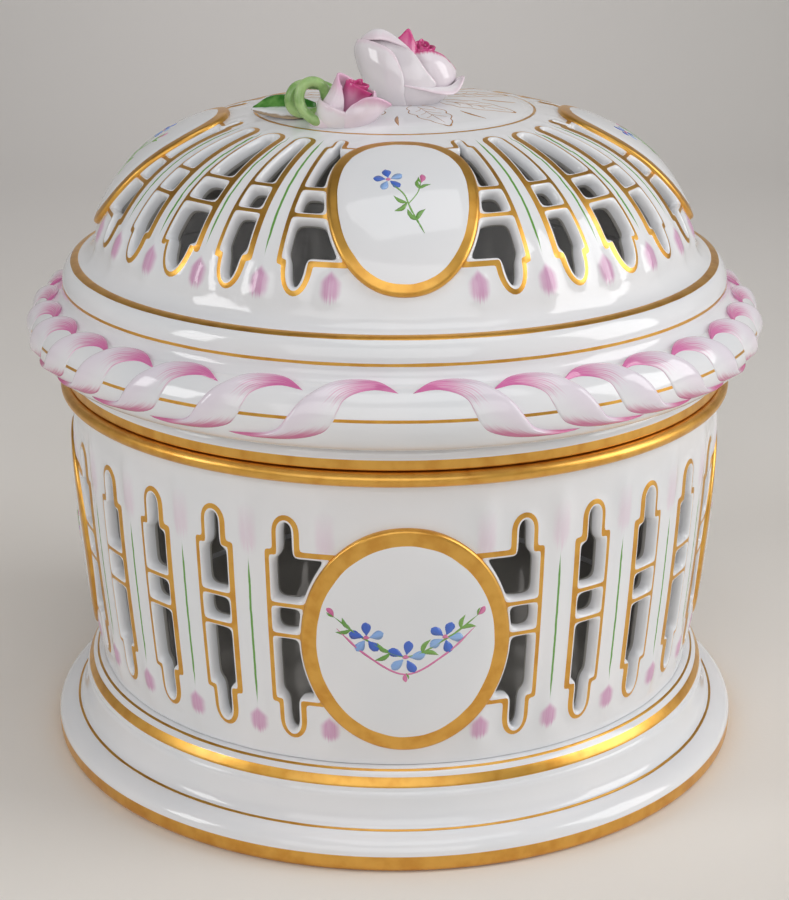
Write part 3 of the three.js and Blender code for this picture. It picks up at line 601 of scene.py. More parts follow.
def pierced(name, wall, slot, low, high, relief, materials):
    """A wall with all its slots: outer face, slots' edges and inner face."""
    outlines, windows = [], []
    for number in range(SLOTS):
        centre = (number - MIDDLE_SLOT) * SLOT_PITCH

        def around(points):
            return np.stack([centre + points[:, 0] / radius_at(wall, points[:, 1]) / DEG, points[:, 1]], -1)

        outlines.append(around(slot_outline(wall, slot, number)))
        for window in (-1, 0, 1):
            rings = [*SLOT_RINGS, THROUGH_RING, BACK_RING]
            windows.append([around(window_ring(wall, slot, number, window, ring)) for ring in rings])
    depth = len(SLOT_RINGS)
    loops = [(points, True) for points in outlines]
    loops += [(points, False) for rings in windows for points in rings[:depth]]
    places, labels, faces, centres = flat_sheet(wall, low, high, loops, GRID_STEP)
    loop_outs = [0.0] * SLOTS + [ring["out"] for _ in windows for ring in SLOT_RINGS] + [0.0]
    outs = np.array(loop_outs)[labels] + np.where(labels < 0, relief(places[:, 0], places[:, 1]), 0)
    gone = any_inside(wall, [rings[depth - 1] for rings in windows], centres)
    in_window = any_inside(wall, [rings[0] for rings in windows], centres)
    gilt = (any_inside(wall, outlines, centres) & ~in_window)[~gone]
    strip = places / (SLOT_PITCH, STRIP_UNIT)
    sheets = [(places, outs, strip, faces[~gone], gilt.astype(int).tolist())]

    backs = [rings[-1] for rings in windows]
    places, _, faces, centres = flat_sheet(wall, low, high, [(points, True) for points in backs],
                                           INNER_GRID_STEP)
    faces = faces[~any_inside(wall, backs, centres)][:, ::-1]
    thick = wall["thickness"]
    sheets.append((places, -thick, np.full(places.shape, INSIDE_MARK), faces, [0] * len(faces)))
    for rings in windows:
        count = len(rings[0])
        layers = [rings[depth - 1], rings[depth], rings[depth], rings[-1]]
        outs = np.repeat([SLOT_RINGS[-1]["out"], -0.45 * thick, -0.8 * thick, -thick], count)
        marks = np.repeat([SIDE_MARK, SIDE_MARK, INSIDE_MARK, INSIDE_MARK], count)
        faces = np.array([face for k in range(3) for face in band_faces(k * count, (k + 1) * count, count)])
        sheets.append((np.concatenate(layers), outs, np.stack([marks, marks], -1), faces, [0] * len(faces)))

    all_points, all_strips, all_faces, finish = [], [], [], []
    for quarter in range(4):
        turn = (quarter + 0.5) * QUARTER
        for places, outs, strip, faces, sheet_finish in sheets:
            all_faces += (faces + sum(map(len, all_points))).tolist()
            all_points.append(on_wall(wall, turn + places[:, 0], places[:, 1], outs))
            all_strips.append(strip)
            finish += sheet_finish
    return make_piece(name, np.concatenate(all_points), all_faces, materials, finish,
                      np.concatenate(all_strips))


def axes(vector):
    return node(vector.id_data, "SeparateXYZ", Vector=vector).outputs[:]


def strip_place(tree):
    """Where a point lies on its strip's map: across it, and along it."""
    return axes(node(tree, "UVMap", {"uv_map": "Strip"}).outputs["UV"])[:2]


def brush_hairs(tree, across_scale, along_scale, detail=3.0, apart=0.0):
    """Streaks like a brush's on a strip's map. apart makes them differ from place to place on a piece."""
    across, along = strip_place(tree)
    stretched = (reckon("MULTIPLY", across, across_scale), reckon("MULTIPLY", along, along_scale))
    drawn = node(tree, "CombineXYZ", X=stretched[0], Y=stretched[1]).outputs[0]
    if apart:
        moved = {"operation": "MULTIPLY_ADD"}
        drawn = node(tree, "VectorMath", moved, i0=object_place(tree), i1=(apart,) * 3, i2=drawn).outputs[0]
    return node(tree, "TexNoise", Vector=drawn, Scale=1.0, Detail=detail).outputs[0]


# Enamel on a pierced wall's strips: a thin green line down each, and streaks of pink at its two ends
PINK_HALF_WIDTH = 2.5
GREEN_HALF_WIDTH = 0.34
STRIP_HEIGHTS = ("Line From", "Line To", "Low Pink From", "Low Pink To", "High Pink From", "High Pink To")
painted_strips, given, result = new_group(
    "painted_strips",
    dict.fromkeys(STRIP_HEIGHTS, "Float"),
    dict.fromkeys(("Green", "Deep Pink", "Pale Pink", "Inside"), "Float"),
)
slots_round, strip_along = strip_place(painted_strips)
strip_up = reckon("MULTIPLY", strip_along, STRIP_UNIT)
squares = [reckon("MULTIPLY", axis, axis) for axis in axes(object_place(painted_strips))[:2]]
radius = reckon("SQRT", reckon("ADD", *squares))
off_middle = reckon("SUBTRACT", reckon("FRACT", slots_round), 0.5)
across = reckon("MULTIPLY", reckon("MULTIPLY", off_middle, radius), SLOT_PITCH * DEG / MM)
streak = brush_hairs(painted_strips, 40.0, 12.0, 2.0)
wander = reckon("MULTIPLY_ADD", noise_at(painted_strips, 300.0), 0.3, -0.15)
distance = reckon("ABSOLUTE", reckon("ADD", across, wander))
off_quarter_middle = reckon("ABSOLUTE", slots_round)

# The green line tapers to both ends and lies only between two slots
line_ends = reckon("MINIMUM", reckon("SUBTRACT", strip_up, given["Line From"]),
                   reckon("SUBTRACT", given["Line To"], strip_up))
line_half = reckon("MULTIPLY", ramp(line_ends, -1.0, 7.0), GREEN_HALF_WIDTH)
line = ramp(reckon("SUBTRACT", line_half, distance), 0.0, 0.14)
between_slots = reckon("LESS_THAN", off_quarter_middle, MIDDLE_SLOT)
painted_strips.links.new(reckon("MULTIPLY", line, between_slots), result["Green"])
# The inner faces, marked on the map, are masked for the painted shade inside the box
inside_shade_mask = reckon("GREATER_THAN", slots_round, (SIDE_MARK + INSIDE_MARK) / 2)
painted_strips.links.new(inside_shade_mask, result["Inside"])

# The pink is shaped like a tulip's petal, ragged below and thinner towards its top
density = reckon("MULTIPLY_ADD", streak, 0.5, 0.6)
ragged = reckon("MULTIPLY_ADD", streak, 0.42, -0.21)
on_face = reckon("LESS_THAN", off_quarter_middle, 3.2)
for pink, place, narrowing, fading_from in (
    ("Deep Pink", "Low Pink", 0.5, 0.85),
    ("Pale Pink", "High Pink", 0.25, 0.35),
):
    first, last = given[place + " From"], given[place + " To"]
    rise = reckon("DIVIDE", reckon("SUBTRACT", strip_up, first), reckon("SUBTRACT", last, first))
    taper = ramp(reckon("SUBTRACT", 1.05, rise), 0.0, narrowing)
    half = reckon("MULTIPLY", reckon("MULTIPLY", taper, ramp(rise, -0.5, 0.35)), PINK_HALF_WIDTH)
    mask = ramp(reckon("SUBTRACT", half, distance), -0.3, 1.5)
    top = reckon("SUBTRACT", 1.0, ramp(rise, fading_from, 1.05))
    for share in (ramp(reckon("ADD", ragged, rise), -0.05, 0.25), top, density, on_face):
        mask = reckon("MULTIPLY", mask, share)
    painted_strips.links.new(mask, result[pink])


def strip_enamel(line, low_pink, high_pink):
    """Enamel whose green line and two pinks lie between these heights up the wall."""
    def painted(tree, colour):
        strips = node(tree, "Group", {"node_tree": painted_strips})
        for name, height in zip(STRIP_HEIGHTS, (*line, *low_pink, *high_pink)):
            strips.inputs[name].default_value = height
        for mask, strength, enamel in (
            ("Pale Pink", 0.55, paint(228, 200, 218)),
            ("Deep Pink", 0.9, paint(206, 140, 184)),
            ("Green", 1.0, paint(108, 162, 76)),
            # painted shade: the inner faces are coloured grey
            ("Inside", 1.0, INSIDE_SHADE_COLOUR),
        ):
            colour = blend_colours(reckon("MULTIPLY", strips.outputs[mask], strength), colour, enamel)
        return colour
    return painted


wall_top_radius = 79.8
wall_height = node_size("box_wall")[2] - foot_top
wall_up = np.linspace(0, wall_height, 80)
wall_flare = np.sin(math.pi / 2 * wall_up / wall_height)
wall_radius = wall_foot_radius + (wall_top_radius - wall_foot_radius) * wall_flare
# A wall's shape: how far up its face, (radius, height) of the outer and the inner face there, and how thick
drum = {
    "up": wall_up,
    "outer": np.stack([wall_radius, foot_top + wall_up], -1),
    "inner": np.stack([wall_radius - wall_thickness, foot_top + wall_up], -1),
    "thickness": wall_thickness,
}
# Heights up the wall, and half widths of the slots: half in degrees, the narrow ends in millimetres
BOX_OVAL = {"middle": 31.85, "half_width": 23.4, "half_height": 27.65, "power": 2.0, "frame": 3.8}
BOX_SLOT = {
    "bottom": 5.4, "low_shoulder": 14.5, "low_bar": 31.9,
    "high_bar": 39.5, "high_shoulder": 52.5, "top": 61.0,
    "half": 3.5, "middle_half": 3.5,
    "low_end": 3.05, "high_end": 3.05, "high_end_beside": 3.05,
    "low_pointed": 1.5, "high_pointed": 1.25,
    "oval": BOX_OVAL,
}
wall_enamel = strip_enamel(line=(12.0, 51.0), low_pink=(5.4, 12.6), high_pink=(50.5, 64.0))
painted_wall = glazed_material("painted_wall", painted=wall_enamel)


def bell(value, middle, width):
    return np.exp(-((value - middle) / width) ** 2)


def off_slot(degrees):
    """How far from a slot's middle, from 0 to 0.5 between two slots."""
    return np.abs((degrees / SLOT_PITCH + 0.5) % 1 - 0.5)


def pads_shown(degrees, up, low, high):
    """Where the swelling between slots shows: not behind the medallions, and fading to the wall's edges."""
    between = bell(off_slot(degrees), 0.5, 0.12) * (np.abs(degrees) < 3 * SLOT_PITCH)
    return between * np.clip(np.minimum(up - low, high - up) / 5, 0, 1)


def wall_relief(degrees, up):
    """The face dips a little round the slots' ends and swells into soft pads between them."""
    dips = 0.35 * (bell(up, BOX_SLOT["top"], 5) + bell(up, BOX_SLOT["bottom"], 5))
    pads = 0.6 * (0.45 + bell(up, 59, 6) + 0.7 * bell(up, 9, 4))
    return pads * pads_shown(degrees, up, 0, wall_height) - dips * bell(off_slot(degrees), 0, 0.3)


wall = pierced("pierced_wall", drum, BOX_SLOT, 0.0, wall_height, wall_relief, [painted_wall, gilding])
stand_for(wall, "box", "box_wall")

# The rim: a half-round bead of porcelain round the mouth, luted to the wall and gilt all over. It stiffens
# the thin mouth, and the lid's band sits on it.
rim_low, rim_high = node_size("box_rim")[1:]
mouth_radius = wall_top_radius - wall_thickness
rim_middle = (rim_low + rim_high) / 2
rim = turned(
    "rim",
    [
        (mouth_radius, rim_low - 0.2, 0.2),
        (wall_top_radius - 0.1, rim_low - 0.1, 0.1),
        *arc((wall_top_radius + 0.9, rim_middle), (1.86, (rim_high - rim_low) / 2 - 0.1), -90, 90, 12),
        (mouth_radius, rim_high - 0.1, 0.5),
    ],
    gold=[(wall_top_radius + 0.1, wall_top_radius + 4, rim_low - 1, rim_high + 1)],
)
stand_for(rim, "box", "box_rim", slot="gilding")

# The box's medallions: oval tiles pressed to the wall's curve, with a flat gilt frame and a swelling white
# field. Each field is painted in enamel with a hanging swag of small blue flowers.
LUTING_GAP = 0.3
FIELD_OUT = LUTING_GAP + 0.95
FIELD_SWELL = 0.5
OVAL_STEPS = 120
SIDES = ("front", "right", "back", "left")


def on_oval(wall, oval, quarter, x, y, out):
    """Points so far out of the wall, x to the right of a medallion's middle and y above it."""
    up = oval["middle"] + y
    return on_wall(wall, quarter * QUARTER + x / radius_at(wall, up) / DEG, up, out)


def on_tile(wall, oval, quarter, x, y, lift=0.0):
    """Points on a medallion's swelling field."""
    swell = 1 - (x / oval["half_width"]) ** 2 - (y / oval["half_height"]) ** 2
    return on_oval(wall, oval, quarter, x, y, FIELD_OUT + FIELD_SWELL * np.maximum(swell, 0) + lift)


def medallion(name, wall, oval, quarter):
    """An oval tile: rings of a flat gilt frame with a rounded edge, then rings of the field."""
    frame_width = oval["frame"]
    frame_rings = [
        (0.0, -0.5, 1), (0.0, 0.1, 1), (0.05, 0.55, 1), (0.25, 0.95, 1), (0.6, 1.15, 1), (1.1, 1.22, 1),
        (frame_width - 0.5, 1.25, 1), (frame_width, 1.3, 0),
    ]
    turn = np.arange(OVAL_STEPS) * 2 * math.pi / OVAL_STEPS
    across, along = (np.sign(f(turn)) * np.abs(f(turn)) ** (2 / oval["power"]) for f in (np.cos, np.sin))
    seed = quarter + oval["middle"]
    wander = np.array([noise.noise((6 * math.cos(t), 6 * math.sin(t), seed)) for t in turn])
    points, finish = [], []
    for inset, out, gilt in frame_rings:
        edge = inset + (2 * BRUSH_WAVER * wander if inset == frame_width else 0)
        x, y = (oval["half_width"] - edge) * across, (oval["half_height"] - edge) * along
        points.append(on_oval(wall, oval, quarter, x, y, out))
        finish += [gilt] * OVAL_STEPS
    field_inset = frame_width + 0.5
    for share in (1, 0.85, 0.7, 0.55, 0.4, 0.25, 0.12, 0.03):
        x, y = (oval["half_width"] - field_inset) * across, (oval["half_height"] - field_inset) * along
        points.append(on_tile(wall, oval, quarter, share * x, share * y))
        finish += [0] * OVAL_STEPS
    starts = range(0, len(finish), OVAL_STEPS)
    faces = [face for start in starts[:-1] for face in band_faces(start, start + OVAL_STEPS, OVAL_STEPS)]
    finish = finish[:len(faces)] + [0]
    faces.append(tuple(range(starts[-1], starts[-1] + OVAL_STEPS)))
    return make_piece(name, np.concatenate(points), faces, [porcelain, gilding], finish)


for quarter, side in enumerate(SIDES):
    tile = medallion("medallion_" + side, drum, BOX_OVAL, quarter)
    stand_for(tile, "box", "box_medallion_" + side)

# The paintings: thin strokes of blue, green and pink enamel that stand a hair above the glaze they are
# fired on. The box's four medallions carry a swag with three flowers, and the lid's four a single sprig.
def through_points(points, share):
    """A smooth curve through points at evenly spaced shares of its way."""
    knots = np.asarray(points, dtype=float)
    padded = np.concatenate([[2 * knots[0] - knots[1]], knots, [2 * knots[-1] - knots[-2]]])
    place = np.clip(np.asarray(share) * (len(knots) - 1), 0, len(knots) - 1 - TINY)
    first = place.astype(int)
    t = (place - first)[..., None]
    a, b, c, d = (padded[first + k] for k in range(4))
    bend, twist = 2 * a - 5 * b + 4 * c - d, 3 * b - a - 3 * c + d
    return 0.5 * (2 * b + (c - a) * t + bend * t ** 2 + twist * t ** 3)


# How high each kind of stroke stands, so that petals lie over stems
STROKE_HEIGHTS = {"line": 0.045, "leaf": 0.06, "petal": 0.075, "dot": 0.1}


def brushed(shapes, place):
    """Closed strokes with a lens section. A shape is its points, half width, kind and material."""
    points, faces, finish = [], [], []
    for path, half, kind, material in shapes:
        length = sum(math.dist(a, b) for a, b in zip(path, path[1:]))
        t = np.linspace(0, 1, max(9, int(length / 0.7)))
        line = through_points(path, t)
        way = np.gradient(line, axis=0)
        way /= np.maximum(np.linalg.norm(way, axis=1), TINY)[:, None]
        beside = np.stack([-way[:, 1], way[:, 0]], -1)
        if kind == "petal":
            wide = half * np.maximum(np.sin(math.pi * t ** 1.5), 0.03) ** 0.6
        elif kind in ("leaf", "dot"):
            wide = half * np.maximum(np.sin(math.pi * t ** 0.85), 0.03)
        else:
            wide = half * np.clip(np.minimum(t, 1 - t) / 0.12, 0.1, 1) ** 0.6
        start = sum(map(len, points))
        for side, lift in ((1, -0.03), (0, STROKE_HEIGHTS[kind]), (-1, -0.03), (0, -0.1)):
            edge = line + side * beside * wide[:, None]
            points.append(place(edge[:, 0], edge[:, 1], lift))
        count = len(t)
        for k in range(4):
            faces += band_faces(start + k * count, start + (k + 1) % 4 * count, count, closed=False)
        faces += [tuple(start + k * count + end for k in range(4)) for end in (0, count - 1)]
        finish += [material] * (len(faces) - len(finish))
    return np.concatenate(points), faces, finish


def turned_shape(shapes, x, y, degrees, size=1.0):
    """The same strokes, moved to a place and turned."""
    c, s = size * math.cos(degrees * DEG), size * math.sin(degrees * DEG)
    return [([(x + c * a - s * b, y + s * a + c * b) for a, b in path], half * size, kind, material)
            for path, half, kind, material in shapes]


BLUE, PALE_BLUE, GREEN, PINK = range(4)
enamels = [
    glazed_material("blue_enamel", paint(48, 84, 190), paint(84, 122, 210), 0.9),
    glazed_material("pale_blue_enamel", paint(120, 160, 224), paint(156, 190, 234), 0.9),
    glazed_material("green_enamel", paint(92, 148, 70), paint(134, 178, 92), 0.9),
    glazed_material("pink_enamel", paint(210, 96, 152), paint(222, 140, 180), 0.9),
]
FLOWER = [([(-0.5, 0), (0, 0.1), (0.5, 0)], 0.45, "dot", PINK)]
for degrees, blue in ((10, BLUE), (82, PALE_BLUE), (154, BLUE), (226, PALE_BLUE), (298, BLUE)):
    FLOWER += turned_shape([([(0, 0.5), (0, 1.6), (0, 2.7)], 0.95, "petal", blue)], 0, 0, -degrees)
LEAF = [([(0, 0), (1.5, 0.5), (3.1, 0.3)], 0.62, "leaf", GREEN)]
LEAVES = [*turned_shape(LEAF, 0, 0, 38), *turned_shape(LEAF, 0, 0, -32)]
BLOOM = [
    ([(0, 0), (0.2, 1.0), (0, 2.2)], 0.7, "petal", PINK),
    ([(0, -0.2), (-0.5, 0.7), (-0.6, 1.5)], 0.3, "leaf", GREEN),
]
SWAG = [
    ([(-14, 5), (-8.2, 0.6), (0, -3.4), (8.2, 0.6), (14, 5)], 0.28, "line", GREEN),
    ([(-13.4, 2.4), (-7.6, -3.2), (0, -7.4), (7.6, -3.2), (13.4, 2.4)], 0.3, "line", PINK),
    *turned_shape(LEAVES, -10.6, 2.3, 150), *turned_shape(LEAVES, 10.6, 2.3, 30),
    *turned_shape(LEAVES, -3.0, -2.6, 165, 1.1), *turned_shape(LEAVES, 3.0, -2.6, 15, 1.1),
    *turned_shape(FLOWER, -7.6, 0.6, 12, 1.3), *turned_shape(FLOWER, 0, -3.6, 0, 1.4),
    *turned_shape(FLOWER, 7.6, 0.6, -12, 1.3),
    *turned_shape(BLOOM, -14, 5, 38), *turned_shape(BLOOM, 14, 5, -38),
    *turned_shape(BLOOM, 0, -7.2, 180, 0.9),
]


def paint_medallions(body, first_name, wall, oval, shapes):
    for quarter, side in enumerate(SIDES):
        def place(x, y, lift):
            return on_tile(wall, oval, quarter, x, y, lift)
        points, faces, finish = brushed(shapes, place)
        stand_for(make_piece(first_name + side, points, faces, enamels, finish), body)


paint_medallions("box", "box_painting_", drum, BOX_OVAL, turned_shape(SWAG, 0, 1, 0, 1.12))

# The lid's flange and band: the flange drops into the mouth and centres the lid. The band stands on the
# rim, with a gilt lower edge, and carries the roll and the shoulder.
flange_radius, flange_low, flange_high = node_size("lid_flange")
flange = turned(
    "lid_flange_ring",
    [
        (flange_radius - 3, flange_low, 0.8),
        (flange_radius - 0.8, flange_low, 0.6),
        (flange_radius, flange_low + 1, 0.6),
        (flange_radius, flange_high + 0.2),
        (flange_radius - 3, flange_high + 0.2),
    ],
)
stand_for(flange, "lid", "lid_flange")
band_radius, seat, band_top = node_size("lid_band")
lid_wall_radius = wall_top_radius - 1.8
lid_inner_radius = lid_wall_radius - wall_thickness
band = turned(
    "lid_band_ring",
    [
        (flange_radius - 3, seat + 0.15),
        (band_radius - 0.02, seat + 0.15, 0.5),
        (band_radius - 0.1, seat + 2.6, 0.3),
        (band_radius - 0.5, seat + 4.4, 1.0),
        (lid_wall_radius + 0.3, seat + 5.6, 0.8),
        (lid_wall_radius, band_top),
        (lid_inner_radius, band_top),
        (lid_inner_radius, seat + 5, 1.5),
    ],
    gold=[(flange_radius + 1, band_radius + 1, seat - 1, seat + 2.55)],
)
stand_for(band, "lid", "lid_band")

# The roll: a thick moulding round the lid with a thin gold line, wound with a ribbon that is mirrored at
# the front. The ribbon's turns are modelled in slip and brushed with pink that fades along them.
ROLL_RADIUS = 7.3
ROLL_HEIGHT = seat + 12.8
roll_centre = lid_wall_radius + 3.7
cut_angle = math.degrees(math.acos((lid_wall_radius - roll_centre) / ROLL_RADIUS))
LINE_LOW, LINE_HIGH = (ROLL_HEIGHT + ROLL_RADIUS * math.sin(a * DEG) for a in (6.0, 11.4))
roll = turned(
    "roll",
    [
        *arc((roll_centre, ROLL_HEIGHT), (ROLL_RADIUS, ROLL_RADIUS), -cut_angle, cut_angle, 44),
        (lid_wall_radius - 0.5, ROLL_HEIGHT + 5),
        (lid_wall_radius - 0.5, ROLL_HEIGHT - 5),
    ],
    gold=[(roll_centre, roll_centre + ROLL_RADIUS + 1, LINE_LOW, LINE_HIGH)],
)
stand_for(roll, "lid", "lid_roll")

RIBBON_TURNS = 16
# Where the tips of the turns in sight lie, in degrees from the front to the right (1) and to the left (-1).
# The turns behind them are spaced evenly up to the last tip.
RIBBON_TIPS = {
    1: (0.8, 12.0, 22.4, 32.3, 43.0, 54.4, 64.9, 75.5),
    -1: (1.2, 14.6, 27.6, 39.0, 49.1, 59.5, 69.5, 79.2),
}
LAST_TIP = 160.3
RIBBON_BACK_GAP = 4
# The two edges of a turn, from its tip to its tail: degrees round the lid and degrees up the roll
UPPER_EDGE = [
    (0, 58), (2.6, 79), (5.8, 89), (9.2, 80), (11.8, 56),
    (13.5, 37), (15.2, 9), (16.7, -13), (19.4, -24), (24, -30),
]
LOWER_EDGE = [
    (0, 58), (3.2, 65), (5.7, 57), (7.4, 42), (8.1, 22),
    (8.9, 2), (10.4, -16), (14, -31), (18.8, -37), (24, -30),
]
# Across a turn from the lower edge to the upper one: share of the width and height out of the roll
RIBBON_SECTION = [
    (0.0, -0.5), (0.02, 0.0), (0.1, 0.1), (0.22, 0.24), (0.36, 0.42), (0.52, 0.64), (0.66, 0.82),
    (0.78, 0.94), (0.87, 0.98), (0.93, 0.88), (0.97, 0.62), (0.99, 0.3), (1.0, 0.0), (1.0, -0.5),
]
RIBBON_STEPS = 37


def on_roll(degrees, rise, out):
    reach = ROLL_RADIUS + out
    distance = roll_centre + reach * np.cos(rise * DEG)
    height = ROLL_HEIGHT + reach * np.sin(rise * DEG)
    return np.stack([distance * np.sin(degrees * DEG), -distance * np.cos(degrees * DEG), height], -1)


def ribbon_turns():
    """The points, faces and strip's places of every turn of the ribbon."""
    points, strips, faces = [], [], []
    share = np.linspace(0.0, 1.0, RIBBON_STEPS)
    upper, lower = through_points(UPPER_EDGE, share), through_points(LOWER_EDGE, share)
    fullness = np.minimum(1, np.minimum(share / 0.12, (1 - share) / 0.1)) ** 0.6
    end = 180 - RIBBON_BACK_GAP
    for hand, seen in RIBBON_TIPS.items():
        tips = [*seen, *np.linspace(seen[-1], LAST_TIP, RIBBON_TURNS - len(seen) + 1)[1:]]
        for index, tip in enumerate(tips):
            room = min(1.0, (end - tip) / UPPER_EDGE[-1][0])
            drift = noise.noise((index * 1.7, hand * 3.1, 0.5))
            start = sum(map(len, points))
            for across, out in RIBBON_SECTION:
                edge = lower + (upper - lower) * across
                degrees = tip + room * edge[:, 0] + 0.25 * drift
                thinned = np.clip((end - degrees) / 9, 0.05, 1)
                height = np.where(out > 0, out * fullness * thinned, out)
                points.append(on_roll(hand * degrees, edge[:, 1] + 1.2 * drift, height))
                strips.append(np.stack([np.full(RIBBON_STEPS, across), share], -1))
            rows = [start + k * RIBBON_STEPS for k in range(len(RIBBON_SECTION))]
            for here, there in zip(rows, rows[1:] + rows[:1]):
                faces += band_faces(here, there, RIBBON_STEPS, closed=False)
    return np.concatenate(points), faces, np.concatenate(strips)


def ribbon_enamel(tree, colour):
    """Pink brushed from the tip along the upper edge, a pale body, and pink again at the tail."""
    across, along = strip_place(tree)
    ragged = reckon("MULTIPLY_ADD", brush_hairs(tree, 26.0, 3.0, apart=9.0), 0.5, -0.25)
    from_tip = reckon("ADD", reckon("MULTIPLY_ADD", across, 0.12, along), ragged)
    low_along = reckon("MULTIPLY_ADD", across, -0.26, along)
    for share, strength, enamel in (
        (reckon("MULTIPLY_ADD", ramp(across, 0.1, 0.8), 0.34, 0.08), 1.0, paint(228, 206, 226)),
        (ramp(across, 0.92, 0.99), 0.35, paint(206, 130, 176)),
        (reckon("SUBTRACT", 1.0, ramp(from_tip, 0.14, 0.5)), 0.9, paint(212, 92, 160)),
        (ramp(reckon("MULTIPLY_ADD", ragged, 0.3, low_along), 0.54, 0.68), 0.9, paint(206, 100, 148)),
    ):
        colour = blend_colours(reckon("MULTIPLY", share, strength), colour, enamel)
    return colour


brushed_ribbon = glazed_material("brushed_ribbon", painted=ribbon_enamel)
ribbon_points, ribbon_faces, ribbon_strips = ribbon_turns()
ribbon = make_piece("roll_ribbon", ribbon_points, ribbon_faces, [brushed_ribbon], strip=ribbon_strips)
stand_for(ribbon, "lid", "lid_roll", slot="ribbon_glaze")

# The shoulder: a bold round moulding between the roll and the dome, with a thin gold line at its broadest
# and a gilt ring where the dome springs from it.
_, shoulder_low, ring_height = node_size("lid_shoulder")
SHOULDER_REACH, SHOULDER_RISE = 4.1, 5.6
ring_radius = lid_wall_radius - 1.2
broad_height = ring_height - SHOULDER_RISE
shoulder = turned(
    "lid_shoulder_ring",
    [
        (lid_inner_radius, shoulder_low, 0.5),
        (lid_wall_radius + 0.6, shoulder_low - 0.6),
        (roll_centre + 1.8, ROLL_HEIGHT + 6.85),
        (roll_centre + 0.6, ROLL_HEIGHT + 7.5, 0.6),
        (roll_centre - 0.4, ROLL_HEIGHT + 8.6, 0.8),
        *arc((ring_radius, broad_height), (SHOULDER_REACH, SHOULDER_RISE), -10, 90, 16),
        (ring_radius - 3.6, ring_height, 0.4),
    ],
    gold=[
        (ring_radius + 3.6, ring_radius + SHOULDER_REACH + 0.3, broad_height - 0.2, broad_height + 0.5),
        (ring_radius - 0.4, ring_radius + 1.9, ring_height - 1.6, ring_height + 1),
    ],
)
stand_for(shoulder, "lid", "lid_shoulder")

# The dome: thrown with the lid, flared where it meets the shoulder, and pierced like the wall with slots
# that narrow towards the crown.
FLARE_SIZE = (4.2, 5.6)
dome_radius, spring_height = ring_radius - FLARE_SIZE[0], ring_height + FLARE_SIZE[1]
apex_height = spring_height + 30.65
# The points that steer the dome's curve, as (radius, height), from where it springs up to the crown
dome_knots = [
    (dome_radius, spring_height),
    (dome_radius - 9.4, spring_height + 21.95),
    (47.1, apex_height),
    (0, apex_height),
]


def lengths_along(line):
    steps = np.linalg.norm(np.diff(line, axis=0), axis=1)
    return np.concatenate([[0], np.cumsum(steps)])


t = np.linspace(0, 1, 1200)[:, None]
dome_shares = [math.comb(3, k) * t ** k * (1 - t) ** (3 - k) for k in range(4)]
dome_line = sum(share * knot for share, knot in zip(dome_shares, np.array(dome_knots)))
dome_way = np.gradient(dome_line, axis=0)
dome_way /= np.linalg.norm(dome_way, axis=1)[:, None]
dome_up = lengths_along(dome_line)
dome_thickness = 3.5
dome_inner = dome_line - dome_thickness * np.stack([dome_way[:, 1], -dome_way[:, 0]], -1)
flare_line = np.array(arc((ring_radius, spring_height), FLARE_SIZE, 270, 180, 24))
flare_up = lengths_along(flare_line)
flare_length = flare_up[-1]
flare_inner = np.linspace((ring_radius - 3.7, ring_height), dome_inner[0], len(flare_line))
dome = {
    "up": np.concatenate([flare_up[:-1] - flare_length, dome_up]),
    "outer": np.concatenate([flare_line[:-1], dome_line]),
    "inner": np.concatenate([flare_inner[:-1], dome_inner]),
    "thickness": dome_thickness,
}
LID_OVAL = {"middle": 23.05, "half_width": 16.6, "half_height": 21.8, "power": 2.15, "frame": 2.6}
LID_SLOT = {
    "bottom": 0.7, "low_shoulder": 7.5, "low_bar": 18.9,
    "high_bar": 26.2, "high_shoulder": 42.6, "top": 46.4,
    "half": 3.9, "middle_half": 5.1,
    "low_end": 3.4, "high_end": None, "high_end_beside": 1.6,
    "low_pointed": 1.8, "high_pointed": 1.0,
    "oval": LID_OVAL,
}
plate_up = 50.5
dome_enamel = strip_enamel(line=(8.0, 46.5), low_pink=(-0.6, 7.2), high_pink=(60.0, 64.0))
painted_dome = glazed_material("painted_dome", painted=dome_enamel)


def dome_relief(degrees, up):
    pads = 0.25 + 0.45 * bell(up, 3.5, 3.5)
    dips = 0.25 * bell(up, LID_SLOT["bottom"], 3.5)
    return pads * pads_shown(degrees, up, -flare_length, plate_up) - dips * bell(off_slot(degrees), 0, 0.3)


dome_piece = pierced("pierced_dome", dome, LID_SLOT, -flare_length, plate_up, dome_relief,
                     [painted_dome, gilding])
stand_for(dome_piece, "lid", "lid_dome")

# The lid's medallions: smaller ovals laid over the dome's curve, in line with those of the box, each with
# one painted sprig in its field.
for quarter, side in enumerate(SIDES):
    tile = medallion("lid_medallion_" + side + "_tile", dome, LID_OVAL, quarter)
    stand_for(tile, "lid", "lid_medallion_" + side)

SPRIG = [
    ([(4.2, -8.4), (1.6, -3.0), (0.2, 1.0), (-2.4, 4.2)], 0.26, "line", GREEN),
    ([(0.9, -1.6), (3.0, 1.4), (3.8, 4.4)], 0.2, "line", GREEN),
    *turned_shape(LEAVES, 2.6, -5.4, 80, 1.05), *turned_shape(LEAVES, 0.8, -1.2, 172, 1.1),
    *turned_shape(LEAVES, 3.4, 2.6, 52, 0.9),
    *turned_shape(FLOWER, -3.0, 5.4, 20, 1.2), *turned_shape(BLOOM, 3.9, 4.4, -6, 1.15),
]
paint_medallions("lid", "lid_painting_", dome, LID_OVAL, SPRIG)

